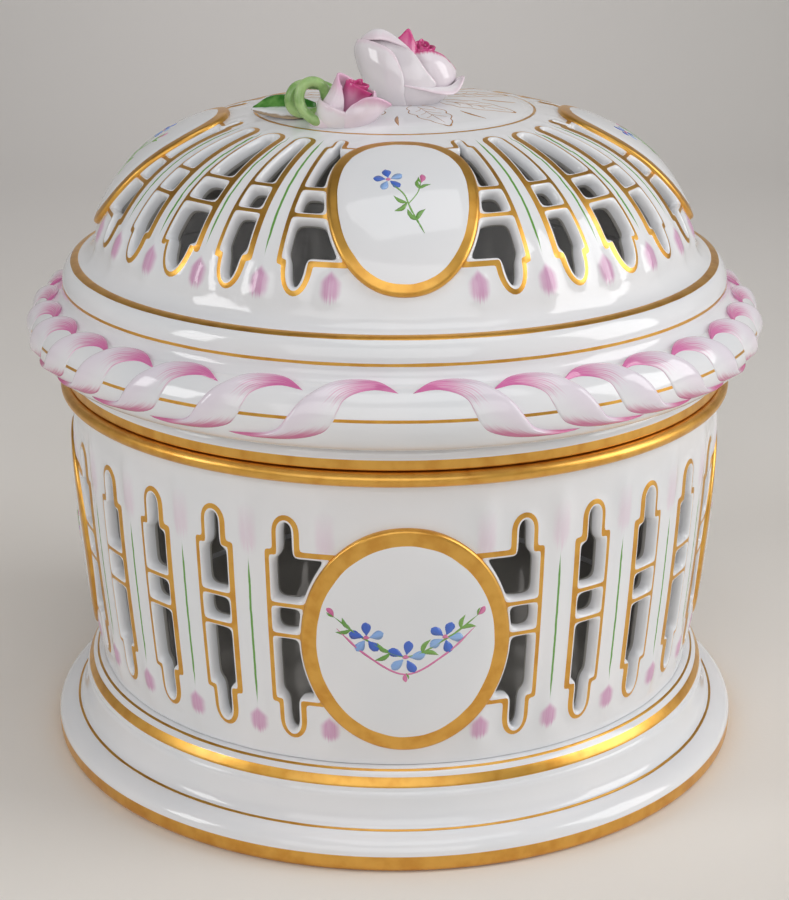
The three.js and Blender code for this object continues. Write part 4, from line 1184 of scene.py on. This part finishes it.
# The crown plate: a shallow disc at the top of the dome, edged with a gold line, that carries the knob. It
# is painted with thin brown strokes of leaves round the rose.
PLATE_RISE = 0.45
PLATE_THICKNESS = 3.4
plate_steps = np.linspace(plate_up, dome_up[-1], 24)
plate_line = np.stack([np.interp(plate_steps, dome_up, dome_line[:, k]) for k in (0, 1)], -1)
plate = turned(
    "crown_plate",
    [
        *[(r, z - PLATE_THICKNESS) for r, z in plate_line[::-6]],
        (plate_line[0][0] + 0.05, plate_line[0][1] - 2.5),
        (plate_line[0][0] + 0.05, plate_line[0][1] + 0.02, 0.2),
        *[(r, z + min(PLATE_RISE, 0.3 * k)) for k, (r, z) in enumerate(plate_line[1:])],
    ],
    gold=[(33.2, 34.3, 150, 162)],
)
stand_for(plate, "lid", "knob_plate")


def on_plate(x, y, lift):
    """A point on the plate's top, seen from above with the front below."""
    up = np.interp(np.hypot(x, y), plate_line[::-1, 0], plate_line[::-1, 1]) + PLATE_RISE + lift
    return np.stack([x, y, up], -1)


def notched_leaf(base, tip, half, notches=4):
    """The outline of a leaf whose edge is notched, up from the origin."""
    share = np.linspace(0, 1, 8 * notches + 1)
    notched = 0.82 + 0.18 * np.abs(np.sin(math.pi * notches * share))
    width = half * np.sin(math.pi * share ** 0.8) ** 0.8 * notched
    side = np.stack([width, base + (tip - base) * share], -1)
    return [*side.tolist(), *(side[::-1] * (-1, 1)).tolist()[1:]]


PLATE_LEAF = [
    (notched_leaf(11, 30.5, 4.6), 0.26, "line", 0),
    ([(0, 13), (0.2, 20), (0, 28)], 0.18, "line", 0),
    *[([(0, up), (side * 1.2, up + 1.6), (side * 2.6, up + 2.6)], 0.12, "line", 0)
      for up in (15, 18, 21) for side in (1, -1)],
]
PLATE_DASH = [([(0, 21.0), (0.3, 25), (0, 29)], 0.75, "leaf", 0)]
plate_strokes = []
for k in range(8):
    plate_strokes += [*turned_shape(PLATE_LEAF, 0, 0, 22.5 + 45 * k),
                      *turned_shape(PLATE_DASH, 0, 0, 45 * k)]
brown_gold = glazed_material("brown_gold", paint(184, 132, 66), paint(150, 102, 48), 0.9)
plate_painting = make_piece("plate_painting", *brushed(plate_strokes, on_plate)[:2], [brown_gold])
stand_for(plate_painting, "lid")

# The rose: thin porcelain petals pressed by hand and stuck round a rolled heart on a low cup, leaning to
# the right. The inner petals are washed deep pink with enamel, and the outer ones are hardly tinted.
KNOB_FOOT = (0, 0, 158)  # all points of the knob are given from here: to the right, backwards and up
PETAL_COLUMNS = 27
PETAL_ROWS = 27
PETAL_THICKNESS = 1.0
CORNER_CURL = 0.5
HEART_THICKNESS = 0.75
HEART_FLARE = 0.6
ROSE = {"foot": (2.6, -4.2, 0.6), "lean": 11, "towards": 95}
ROSE_HEART = {"foot": (3.8, -3.8, 2.0), "lean": 12, "towards": 90}


def in_flower(flower, azimuth, radius, height):
    """Points of a leaning flower, by the degrees round its axis from the front, reach and height."""
    angle = azimuth * DEG
    local = np.stack([radius * np.sin(angle), -radius * np.cos(angle), height + 0 * angle], -1)
    way = flower["towards"] * DEG
    turn = Matrix.Rotation(flower["lean"] * DEG, 3, Vector((math.cos(way), math.sin(way), 0)))
    return local @ np.array(turn).T + np.array(flower["foot"])


def sheet_of(name, grid, thickness, material):
    """A closed sheet with rounded edges along a grid of points, thinner at its last row and its sides."""
    rows, columns = grid.shape[:2]
    along, across = np.gradient(grid, axis=0), np.gradient(grid, axis=1)
    normal = np.cross(along, across)
    normal /= np.maximum(np.linalg.norm(normal, axis=2), TINY)[..., None]
    u = np.linspace(-1, 1, columns)[None, :]
    v = np.linspace(0, 1, rows)[:, None]
    half = thickness / 2 * (0.55 + 0.45 * (1 - np.abs(u) ** 4)) * (1 - 0.45 * v ** 3)
    front, back = grid + normal * half[..., None], grid - normal * half[..., None]
    border = [(0, k) for k in range(columns)] + [(k, columns - 1) for k in range(1, rows)]
    border += [(rows - 1, k) for k in range(columns - 2, -1, -1)] + [(k, 0) for k in range(rows - 2, 0, -1)]
    edge = []
    for row, column in border:
        outward = grid[row, column] - grid[min(max(row, 1), rows - 2), min(max(column, 1), columns - 2)]
        outward /= max(np.linalg.norm(outward), TINY)
        edge.append(grid[row, column] + outward * half[row, column] * 0.9)
    points = np.concatenate([front.reshape(-1, 3), back.reshape(-1, 3), np.array(edge)]) + KNOB_FOOT
    places = np.stack(np.broadcast_arrays((u + 1) / 2, v), -1).reshape(-1, 2)
    strips = np.concatenate([places, places, [(c / (columns - 1), r / (rows - 1)) for r, c in border]])
    layer = rows * columns
    faces = []
    for row in range(rows - 1):
        faces += band_faces(row * columns, (row + 1) * columns, columns, closed=False)
    faces += [(layer + a, layer + d, layer + c, layer + b) for a, b, c, d in faces]
    rim = [row * columns + column for row, column in border]
    for k, here in enumerate(rim):
        following = (k + 1) % len(rim)
        first, second, there = 2 * layer + k, 2 * layer + following, rim[following]
        faces += [(here, there, second, first), (layer + here, first, second, layer + there)]
    return make_piece(name, points, faces, [material], strip=strips)


def moulded(name, rows, material):
    """A petal pinched out by hand. Its rows of points go from foot to rim, each from side to side."""
    across = [through_points(row, np.linspace(0, 1, PETAL_COLUMNS)).ravel() for row in rows]
    grid = through_points(across, np.linspace(0, 1, PETAL_ROWS)).reshape(PETAL_ROWS, PETAL_COLUMNS, 3)
    return sheet_of(name, grid, PETAL_THICKNESS, material)


def petal(name, flower, material, turn, span, foot, bends, length,
          droop=0.25, widths=(0.6, 0.95, 1.0), thickness=0.9, lift=0.0):
    """A plain petal is a strip of clay that leaves its foot and bends as it goes up. bends are its degrees
    outward from upright, from foot to rim, and widths the shares of its span. droop lowers its corners."""
    u = np.linspace(-1, 1, PETAL_COLUMNS)[None, :]
    v = np.linspace(0, 1, PETAL_ROWS)[:, None]
    lean = through_points([(b,) for b in bends], v[:, 0])[:, 0] * DEG
    step = 1 / (PETAL_ROWS - 1)
    outward = np.concatenate([[0], np.cumsum((np.sin(lean[1:]) + np.sin(lean[:-1])) / 2 * step)])[:, None]
    upward = np.concatenate([[0], np.cumsum((np.cos(lean[1:]) + np.cos(lean[:-1])) / 2 * step)])[:, None]
    reach = length * (1 - droop * np.abs(u) ** 2.4)
    radius = foot + reach * outward + CORNER_CURL * np.abs(u) ** 6 * v
    height = lift + reach * upward
    width = through_points([(w,) for w in widths], v[:, 0])[:, :1]
    azimuth = turn + span / 2 * u * width
    return sheet_of(name, in_flower(flower, azimuth, radius, height), thickness, material)


def petal_enamel(body, rim, rim_from, strength):
    """A wash over the whole petal that deepens to its rim, with brush streaks from foot to rim."""
    def painted(tree, colour):
        up_petal = reckon("MULTIPLY_ADD", brush_hairs(tree, 24.0, 2.0), 0.24, strip_place(tree)[1])
        washed = blend_colours(0.75, colour, body)
        return blend_colours(reckon("MULTIPLY", ramp(up_petal, rim_from, 1.12), strength), washed, rim)
    return painted


def heart(name, flower, material, radius, length, turns, start):
    """A strip rolled up on itself, with the top edge of its last turn opened outwards."""
    u = np.linspace(0, 1, 64)[None, :]
    v = np.linspace(0, 1, 14)[:, None]
    azimuth = start + 360 * turns * u + 0 * v
    opening = 0.72 + 0.28 * np.sin(math.pi * 0.62 * v)
    spread = radius * (0.12 + 0.88 * u) * opening + HEART_FLARE * v ** 5 * u
    height = length * (1 - 0.10 * u + 0.05 * np.sin(5.0 * u * math.pi)) * v
    return sheet_of(name, in_flower(flower, azimuth, spread, height), HEART_THICKNESS, material)


pale_petal = glazed_material(
    "pale_petal", painted=petal_enamel(paint(238, 230, 235), paint(234, 206, 220), 0.95, 0.5))
rimmed_petal = glazed_material(
    "rimmed_petal", painted=petal_enamel(paint(235, 222, 230), paint(204, 60, 128), 1.02, 0.95))
deep_petal = glazed_material(
    "deep_petal", painted=petal_enamel(paint(214, 104, 162), paint(204, 52, 126), 0.7, 0.9))

# Rows of points from foot to rim, each from the petal's left side to its right
ROSE_PETALS = {
    # the pointed inner petal, washed deep pink
    "rose_petal_1": (deep_petal, [
        [(0, -6.2, 2), (0.8, -6.8, 2), (1.6, -7, 2), (2.4, -7, 2), (3.2, -6.6, 2)],
        [(-1.8, -6.6, 9), (0.2, -7.8, 10), (2, -8, 10.4), (3.4, -7.8, 10), (4.8, -7, 9)],
        [(-2, -5.6, 14.6), (0.9, -6.2, 16.5), (3.1, -5.6, 18.3), (4.4, -5.8, 15.8), (5.4, -5.6, 12.8)],
    ]),
    # the big front petal: its crest rolls over at the left, and its bare edge runs down to the right
    "rose_petal_4": (pale_petal, [
        [(-3, -2.5, 0.6), (-1.8, -6.8, 0.6), (1, -9.2, 0.8),
         (3.8, -9.8, 1), (6, -9, 1.2), (7.5, -7.6, 1.4)],
        [(-6.5, -2.4, 6), (-4.4, -8.4, 5.6), (0.2, -11, 5.4),
         (4.2, -11.6, 4.8), (7, -10.8, 4), (8.6, -9.2, 3.6)],
        [(-7.6, -2.8, 12), (-5.2, -7.6, 12), (-0.6, -10, 10.8),
         (4.2, -11.4, 8.8), (7.2, -11.3, 6.6), (9, -10.2, 5.2)],
        [(-7.2, -3, 16.4), (-4.6, -4.6, 17.9), (-1.3, -5.6, 17.1),
         (3.6, -9.5, 13.2), (7, -11.2, 8.6), (9.2, -10.6, 6.1)],
        [(-8.2, -4.8, 15.8), (-5.2, -7.8, 16.4), (-1.8, -7.9, 16.1),
         (3.6, -9.3, 13.8), (7.1, -11, 9.3), (9.4, -10.5, 6.6)],
    ]),
    # the right one, with a thin deep pink rim
    "rose_petal_5": (rimmed_petal, [
        [(3, -8.2, 1), (5.2, -8, 1), (6.8, -6.2, 1), (7.6, -4, 1), (7.6, -1, 1)],
        [(4.8, -8.8, 5.4), (8.4, -9.2, 5.4), (11.6, -7.6, 5.6), (13, -4.4, 5.6), (12.6, -0.4, 5.4)],
        [(4.6, -8.2, 10.2), (8.2, -8.6, 10.4), (11.8, -6.8, 9.6), (14, -4.2, 7.6), (13.6, -0.2, 7)],
        [(4.6, -6.6, 13), (7.6, -6.4, 13.4), (10.9, -5, 12.3), (14.1, -3.4, 8.8), (14, 0.2, 8)],
    ]),
    # the left one, whose left side stands a little open
    "rose_petal_7": (pale_petal, [
        [(-3.4, -3, 0.6), (-2.8, -6, 0.6), (-0.6, -9.6, 0.6), (1, -10.4, 0.8), (2.6, -10.6, 1)],
        [(-6.9, -3.2, 5.4), (-5.8, -8.2, 5.4), (-2.4, -11.6, 5.4), (0.2, -12.4, 4.6), (1.9, -12.2, 3.4)],
        [(-8.7, -3.2, 9.6), (-6.9, -8.4, 10), (-2.6, -12, 10), (0.8, -12.8, 7.4), (1.8, -12.5, 4.8)],
        [(-9.5, -3.4, 13.4), (-7.1, -7.8, 14), (-2.2, -11.4, 13), (1, -12.7, 9), (1.8, -12.4, 5.8)],
        [(-8.8, -4.2, 15.8), (-6.5, -7.2, 16), (-1.4, -10.9, 14.3), (1.1, -12.5, 10), (1.8, -12.3, 6.6)],
    ]),
    # the low outer one, whose lip spreads to the right and rises to a point
    "rose_petal_8": (pale_petal, [
        [(1.5, -9.8, 0.6), (4.4, -9.6, 0.6), (7, -8.4, 0.6),
         (8.6, -6, 0.6), (9, -3.4, 0.6), (8.8, -0.6, 0.6)],
        [(1.6, -11.6, 3.6), (5.2, -11.6, 3.2), (9, -10.4, 3.2),
         (11.4, -7.8, 3.2), (12.4, -4.6, 3.4), (11.8, -1, 3.2)],
        [(1.6, -12.5, 5.8), (5.6, -12.4, 5.4), (9.8, -11.4, 5.4),
         (12.6, -8.6, 5.2), (14.4, -5.4, 5.8), (13.4, -1.2, 5.4)],
        [(1.5, -12.8, 6.6), (5.8, -13.2, 5.6), (10.6, -12.8, 4.4),
         (14.2, -10, 4.4), (16.2, -6, 7.2), (14.4, -1.4, 6.2)],
    ]),
}
for name, (material, rows) in ROSE_PETALS.items():
    stand_for(moulded(name + "_form", rows, material), "lid", name, slot="petal_glaze")

# The plain petals: material, degrees round the rose, span, radius of the foot, bends and length
BACK_PETALS = {
    "rose_petal_2": (deep_petal, 98, 100, 2.4, (50, 25, 5, 0, 20), 12.4),
    "rose_petal_3": (deep_petal, 205, 110, 2.4, (50, 25, 5, 0, 18), 12.8),
    "rose_petal_6": (rimmed_petal, 160, 124, 4.8, (34, 30, 16, 8, 24), 13.4),
    "rose_petal_9": (pale_petal, -140, 130, 5.6, (30, 32, 22, 14, 70), 14.8),
}
for name, form in BACK_PETALS.items():
    stand_for(petal(name + "_form", ROSE, *form), "lid", name, slot="petal_glaze")

rose_heart = heart("rose_heart_roll", ROSE_HEART, deep_petal, 2.9, 13.4, 2.1, start=150)
stand_for(rose_heart, "lid", "rose_heart", slot="deep_pink_glaze")
CUP = {"droop": 0.0, "widths": (1.0, 1.0, 1.0)}
rose_cup = petal("rose_cup", ROSE, pale_petal, 10, 350, 1.0, (92, 80, 40, 24, 14), 7.6,
                 thickness=1.3, lift=-0.9, **CUP)
stand_for(rose_cup, "lid", "rose_base", slot="petal_glaze")

# The bud: a rolled deep pink heart held by three pale petals, leaning out over the plate's front edge. It
# sits on a small cup like the rose's, with the twig's foot against it.
bud_petal = glazed_material(
    "bud_petal", painted=petal_enamel(paint(237, 218, 229), paint(226, 162, 198), 0.72, 0.65))
BUD_CUP = {"foot": (-14, -24, -0.2), "lean": 20, "towards": 84}
BUD_HEART = {"foot": (-12.6, -22.6, 0.6), "lean": 27, "towards": 72}
BUD_PETALS = {
    # the tall one round the left and the back
    "bud_petal_1": [
        [(-14, -27, -0.6), (-17.6, -26.6, -0.6), (-19.8, -24, -0.4), (-18, -20.8, 0), (-14.4, -19.4, 0.2)],
        [(-12.8, -27.6, 2.6), (-15.8, -27, 3), (-17.6, -24, 3.2), (-15.8, -20.8, 3.6), (-12.6, -19.2, 3.8)],
        [(-12.4, -27.2, 5.6), (-14, -26.4, 6.4), (-15.2, -23.6, 7), (-13.8, -20.6, 7.4), (-11, -19, 7.4)],
        [(-12.7, -26.2, 8.4), (-13.5, -25, 10.2), (-13.3, -22.8, 10.9),
         (-11.4, -20.6, 9.8), (-9, -19.6, 8.2)],
    ],
    # the front one, whose lip spreads to the right
    "bud_petal_2": [
        [(-14.8, -27.4, -0.6), (-11, -28.2, -0.8), (-8.2, -27, -0.6),
         (-6.8, -24.6, -0.4), (-6.6, -21.6, 0)],
        [(-12.6, -29.2, 2), (-9, -30, 2.4), (-5.8, -28.4, 2.4), (-4.4, -25.6, 2), (-4.4, -22, 1.8)],
        [(-11.4, -29.2, 3.8), (-8, -29.8, 4.6), (-4.9, -28.8, 4.6), (-3.1, -26.4, 3.6), (-3.2, -22.6, 3)],
        [(-10.4, -29.2, 4.8), (-7.6, -30.2, 6.4), (-4.7, -29.8, 6.4),
         (-1.7, -27.2, 4.6), (-2.2, -23.2, 3.6)],
    ],
    # the one behind on the right
    "bud_petal_3": [
        [(-8, -25.6, 0), (-7.4, -22.6, 0), (-9, -20, 0), (-12, -19, 0)],
        [(-6.2, -26.2, 3), (-5.6, -22.8, 3), (-7.6, -19.4, 3.4), (-11, -18.2, 3.6)],
        [(-5.6, -26, 5.6), (-5.2, -22.8, 5), (-7, -19.4, 5.6), (-10.2, -18.2, 5.6)],
        [(-5.4, -25.6, 7.4), (-5.2, -22.8, 6.4), (-6.8, -19.6, 6.8), (-9.8, -18.4, 7)],
    ],
}
for name, rows in BUD_PETALS.items():
    stand_for(moulded(name + "_form", rows, bud_petal), "lid", name, slot="petal_glaze")
bud_heart = heart("bud_heart_roll", BUD_HEART, deep_petal, 3.2, 9.6, 1.9, start=100)
stand_for(bud_heart, "lid", "bud_heart", slot="deep_pink_glaze")
bud_cup = petal("bud_cup", BUD_CUP, pale_petal, -70, 350, 0.6, (96, 76, 40, 16, 6), 7.6,
                thickness=1.4, lift=-0.8, **CUP)
stand_for(bud_cup, "lid", "bud_base", slot="petal_glaze")

# The twig: a flattened roll of clay bent into two loops, from the bud's foot down to the plate, and washed
# with two greens in enamel.
TWIG_POINTS = [
    (-15.5, -25.5, -0.4), (-18.6, -25.6, 0.6), (-21.3, -25, 2.6), (-22.4, -24.4, 5.4), (-21.6, -23.8, 8.2),
    (-19.4, -23.4, 9.2), (-17.2, -23, 8.2), (-16.4, -22.4, 5.4), (-17.2, -21.4, 2.6), (-20.4, -20.4, 1.4),
    (-23.6, -19.8, 2), (-24.7, -19.4, 4.4), (-23.2, -18.8, 7.2), (-19.6, -18, 7.8), (-15.6, -17, 6.6),
    (-12.4, -16, 3.6), (-11, -14.6, 0),
]


def tube_round(name, points, across, deep, material, steps=96, sides=16):
    """A closed tube along points, flattened to so much across its bend and so much deep."""
    share = np.linspace(0, 1, steps)
    line = through_points(points, share)
    way = np.gradient(line, axis=0)
    way /= np.linalg.norm(way, axis=1)[:, None]
    beside = np.tile((0.0, 1.0, 0.0), (steps, 1))
    beside = beside - (beside * way).sum(1)[:, None] * way
    beside /= np.linalg.norm(beside, axis=1)[:, None]
    outward = np.cross(way, beside)
    size = np.clip(np.minimum(share, 1 - share) / 0.06, 0.25, 1) ** 0.5
    beside *= (deep / 2 * size)[:, None]
    outward *= (across / 2 * size)[:, None]
    angle = np.arange(sides) * 2 * math.pi / sides
    cosine, sine = np.cos(angle)[:, None], np.sin(angle)[:, None]
    rings = line[:, None] + beside[:, None] * cosine + outward[:, None] * sine
    faces = [face for k in range(steps - 1) for face in band_faces(k * sides, (k + 1) * sides, sides)]
    faces += [tuple(range(sides)), tuple(range((steps - 1) * sides, steps * sides))]
    strip = np.stack(np.broadcast_arrays(angle[None] / (2 * math.pi), share[:, None]), -1)
    return make_piece(name, rings.reshape(-1, 3) + KNOB_FOOT, faces, [material], strip=strip.reshape(-1, 2))


def green_wash(dark, light):
    def painted(tree, colour):
        mottled = ramp(noise_at(tree, 260.0, 3.0), 0.35, 0.7)
        return blend_colours(0.92, colour, blend_colours(mottled, dark, light))
    return painted


twig_glaze = glazed_material("twig_glaze", painted=green_wash(paint(112, 160, 66), paint(164, 200, 120)))
twig = tube_round("twig_loops", TWIG_POINTS, 2.4, 3.0, twig_glaze)
stand_for(twig, "lid", "knob_twig", slot="leaf_glaze")

# The leaf: a pointed leaf pinched along its midrib, half of it lying on the plate and half standing up. Its
# rows of points go from tip to base, each from the lying half's edge over the midrib to the standing one's.
LEAF_ROWS = [
    [(-33.4, -8.4, -0.1), (-33.5, -8, 0), (-33.6, -7.4, 0.1), (-33.4, -7.1, 0.4), (-33.2, -6.8, 0.7)],
    [(-30.8, -12.4, -0.1), (-30.6, -10.6, 0.2), (-30.4, -8.8, 0.4), (-30.2, -7.6, 1.4), (-30, -7, 2.8)],
    [(-27.6, -16.8, 0), (-27, -13.6, 0.4), (-26.6, -10.4, 0.8), (-26.4, -9, 2), (-26.2, -8.4, 3.6)],
    [(-24, -19.8, 0.2), (-23.4, -15.8, 0.7), (-22.8, -12, 1.1), (-22.6, -10.6, 2), (-22.4, -10, 3.3)],
    [(-20.4, -19.4, 0.5), (-19.8, -16.4, 0.9), (-19, -13.6, 1.2), (-18.9, -12.6, 1.8), (-18.8, -12, 2.4)],
]


def leaf_enamel(tree, colour):
    """Deep green on the half that stands, and pale on the half that lies, partly paler paint and partly a
    painted highlight, with a brown line along its edge.
    """
    wander = reckon("MULTIPLY_ADD", noise_at(tree, 500.0), 0.16, -0.08)
    across = reckon("ADD", strip_place(tree)[0], wander)
    mottled = ramp(noise_at(tree, 300.0, 3.0), 0.35, 0.7)
    green = blend_colours(mottled, paint(52, 112, 40), paint(104, 156, 78))
    # The lying half keeps the white glaze: paler paint there, and a painted highlight for the sheen it
    # catches.
    standing = blend_colours(ramp(across, 0.4, 0.55), colour, green)
    outline = reckon("SUBTRACT", 1.0, ramp(across, 0.02, 0.09))
    return blend_colours(reckon("MULTIPLY", outline, 0.8), standing, paint(150, 116, 60))


leaf_glaze = glazed_material("leaf_glaze", painted=leaf_enamel)
leaf = moulded("leaf_form", LEAF_ROWS, leaf_glaze)
stand_for(leaf, "lid", "knob_leaf", slot="leaf_glaze")

# The camera, the sweep of pale paper that the box stands on, and soft light from both sides, the front and
# above. The room is darker in front of the box than behind it, and the gold mirrors that.
camera_data = bpy.data.cameras.new("camera")
camera_data.lens = 80.81
camera = add_object("camera", camera_data)
camera.location = (-0.01519, -0.48324, 0.24208)
camera.rotation_euler = (70.406 * DEG, 0, -1.8 * DEG)
bpy.context.scene.camera = camera

SWEEP_FRONT, SWEEP_BACK, SWEEP_HALF_WIDTH, SWEEP_TOP, SWEEP_BEND = -1600, 1150, 2200, 2000, 500
sweep_line = [(SWEEP_FRONT, 0), (-300, 0), (300, 0)]
sweep_line += arc((SWEEP_BACK - SWEEP_BEND, SWEEP_BEND), (SWEEP_BEND, SWEEP_BEND), -90, 0, 23)
sweep_line.append((SWEEP_BACK, SWEEP_TOP))
sweep_points = [(x, y, z) for y, z in sweep_line for x in (-SWEEP_HALF_WIDTH, SWEEP_HALF_WIDTH)]
sweep_faces = [(2 * k, 2 * k + 1, 2 * k + 3, 2 * k + 2) for k in range(len(sweep_line) - 1)]
paper, tree = new_material("pale_paper")
sweep_x, sweep_y, _ = axes(object_place(tree))
# Painted light on the paper: brighter behind the box, with painted shade towards both sides.
far_back_light = ramp(sweep_y, -0.05, 0.7)
side_shade = ramp(reckon("ABSOLUTE", reckon("ADD", sweep_x, 0.02)), 0.0, 0.5)
near_paper = blend_colours(ramp(noise_at(tree, 6.0), 0.3, 0.7), paint(236, 232, 226), paint(233, 228, 221))
far_paper_lit_middle = blend_colours(side_shade, paint(244, 240, 237), paint(214, 211, 206))
sweep_paper = blend_colours(far_back_light, near_paper, far_paper_lit_middle)
finish_material(tree, sweep_paper, 0.9, noise_at(tree, 900.0), bump=0.05)
sweep = make_piece("sweep", sweep_points, sweep_faces, [paper])
sweep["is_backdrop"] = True

BOX_MIDDLE = Vector((0, 0, 0.08))


def softbox(name, place, size, power):
    """A rectangle of light that faces the box's middle."""
    data = bpy.data.lights.new(name, "AREA")
    data.shape = "RECTANGLE"
    data.size, data.size_y = size
    data.energy = power
    lamp = add_object(name, data)
    lamp.location = place
    lamp.rotation_euler = (BOX_MIDDLE - Vector(place)).to_track_quat("-Z", "Y").to_euler()


softbox("left_softbox", (-1.0, -0.35, 0.55), (0.28, 0.5), 2.4)
softbox("right_softbox", (1.05, -0.2, 0.6), (0.6, 0.9), 7)
softbox("front_fill", (-0.2, -1.6, 0.9), (2.0, 1.1), 10.5)
softbox("top_fill", (0.1, -0.25, 1.3), (0.9, 0.7), 3.4)

world = bpy.data.worlds.new("studio")
bpy.context.scene.world = world
world.use_nodes = True
tree = world.node_tree
tree.nodes.clear()
_, way_back, way_up = axes(node(tree, "TexCoord").outputs["Generated"])
walls = blend_colours(ramp(way_back, -0.7, 0.1), paint(108, 105, 102), paint(174, 172, 170))
room = blend_colours(ramp(way_up, 0.0, 0.9), walls, paint(70, 70, 72))
background = node(tree, "Background", Color=room, Strength=1.0)
node(tree, "OutputWorld", Surface=background.outputs[0])
bpy.context.scene.view_settings.view_transform = "Standard"

boxes = {"cad": cad_bounds, "visual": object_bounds()}
{name: [[float(v) for v in corner] for corner in box] for name, box in boxes.items()}
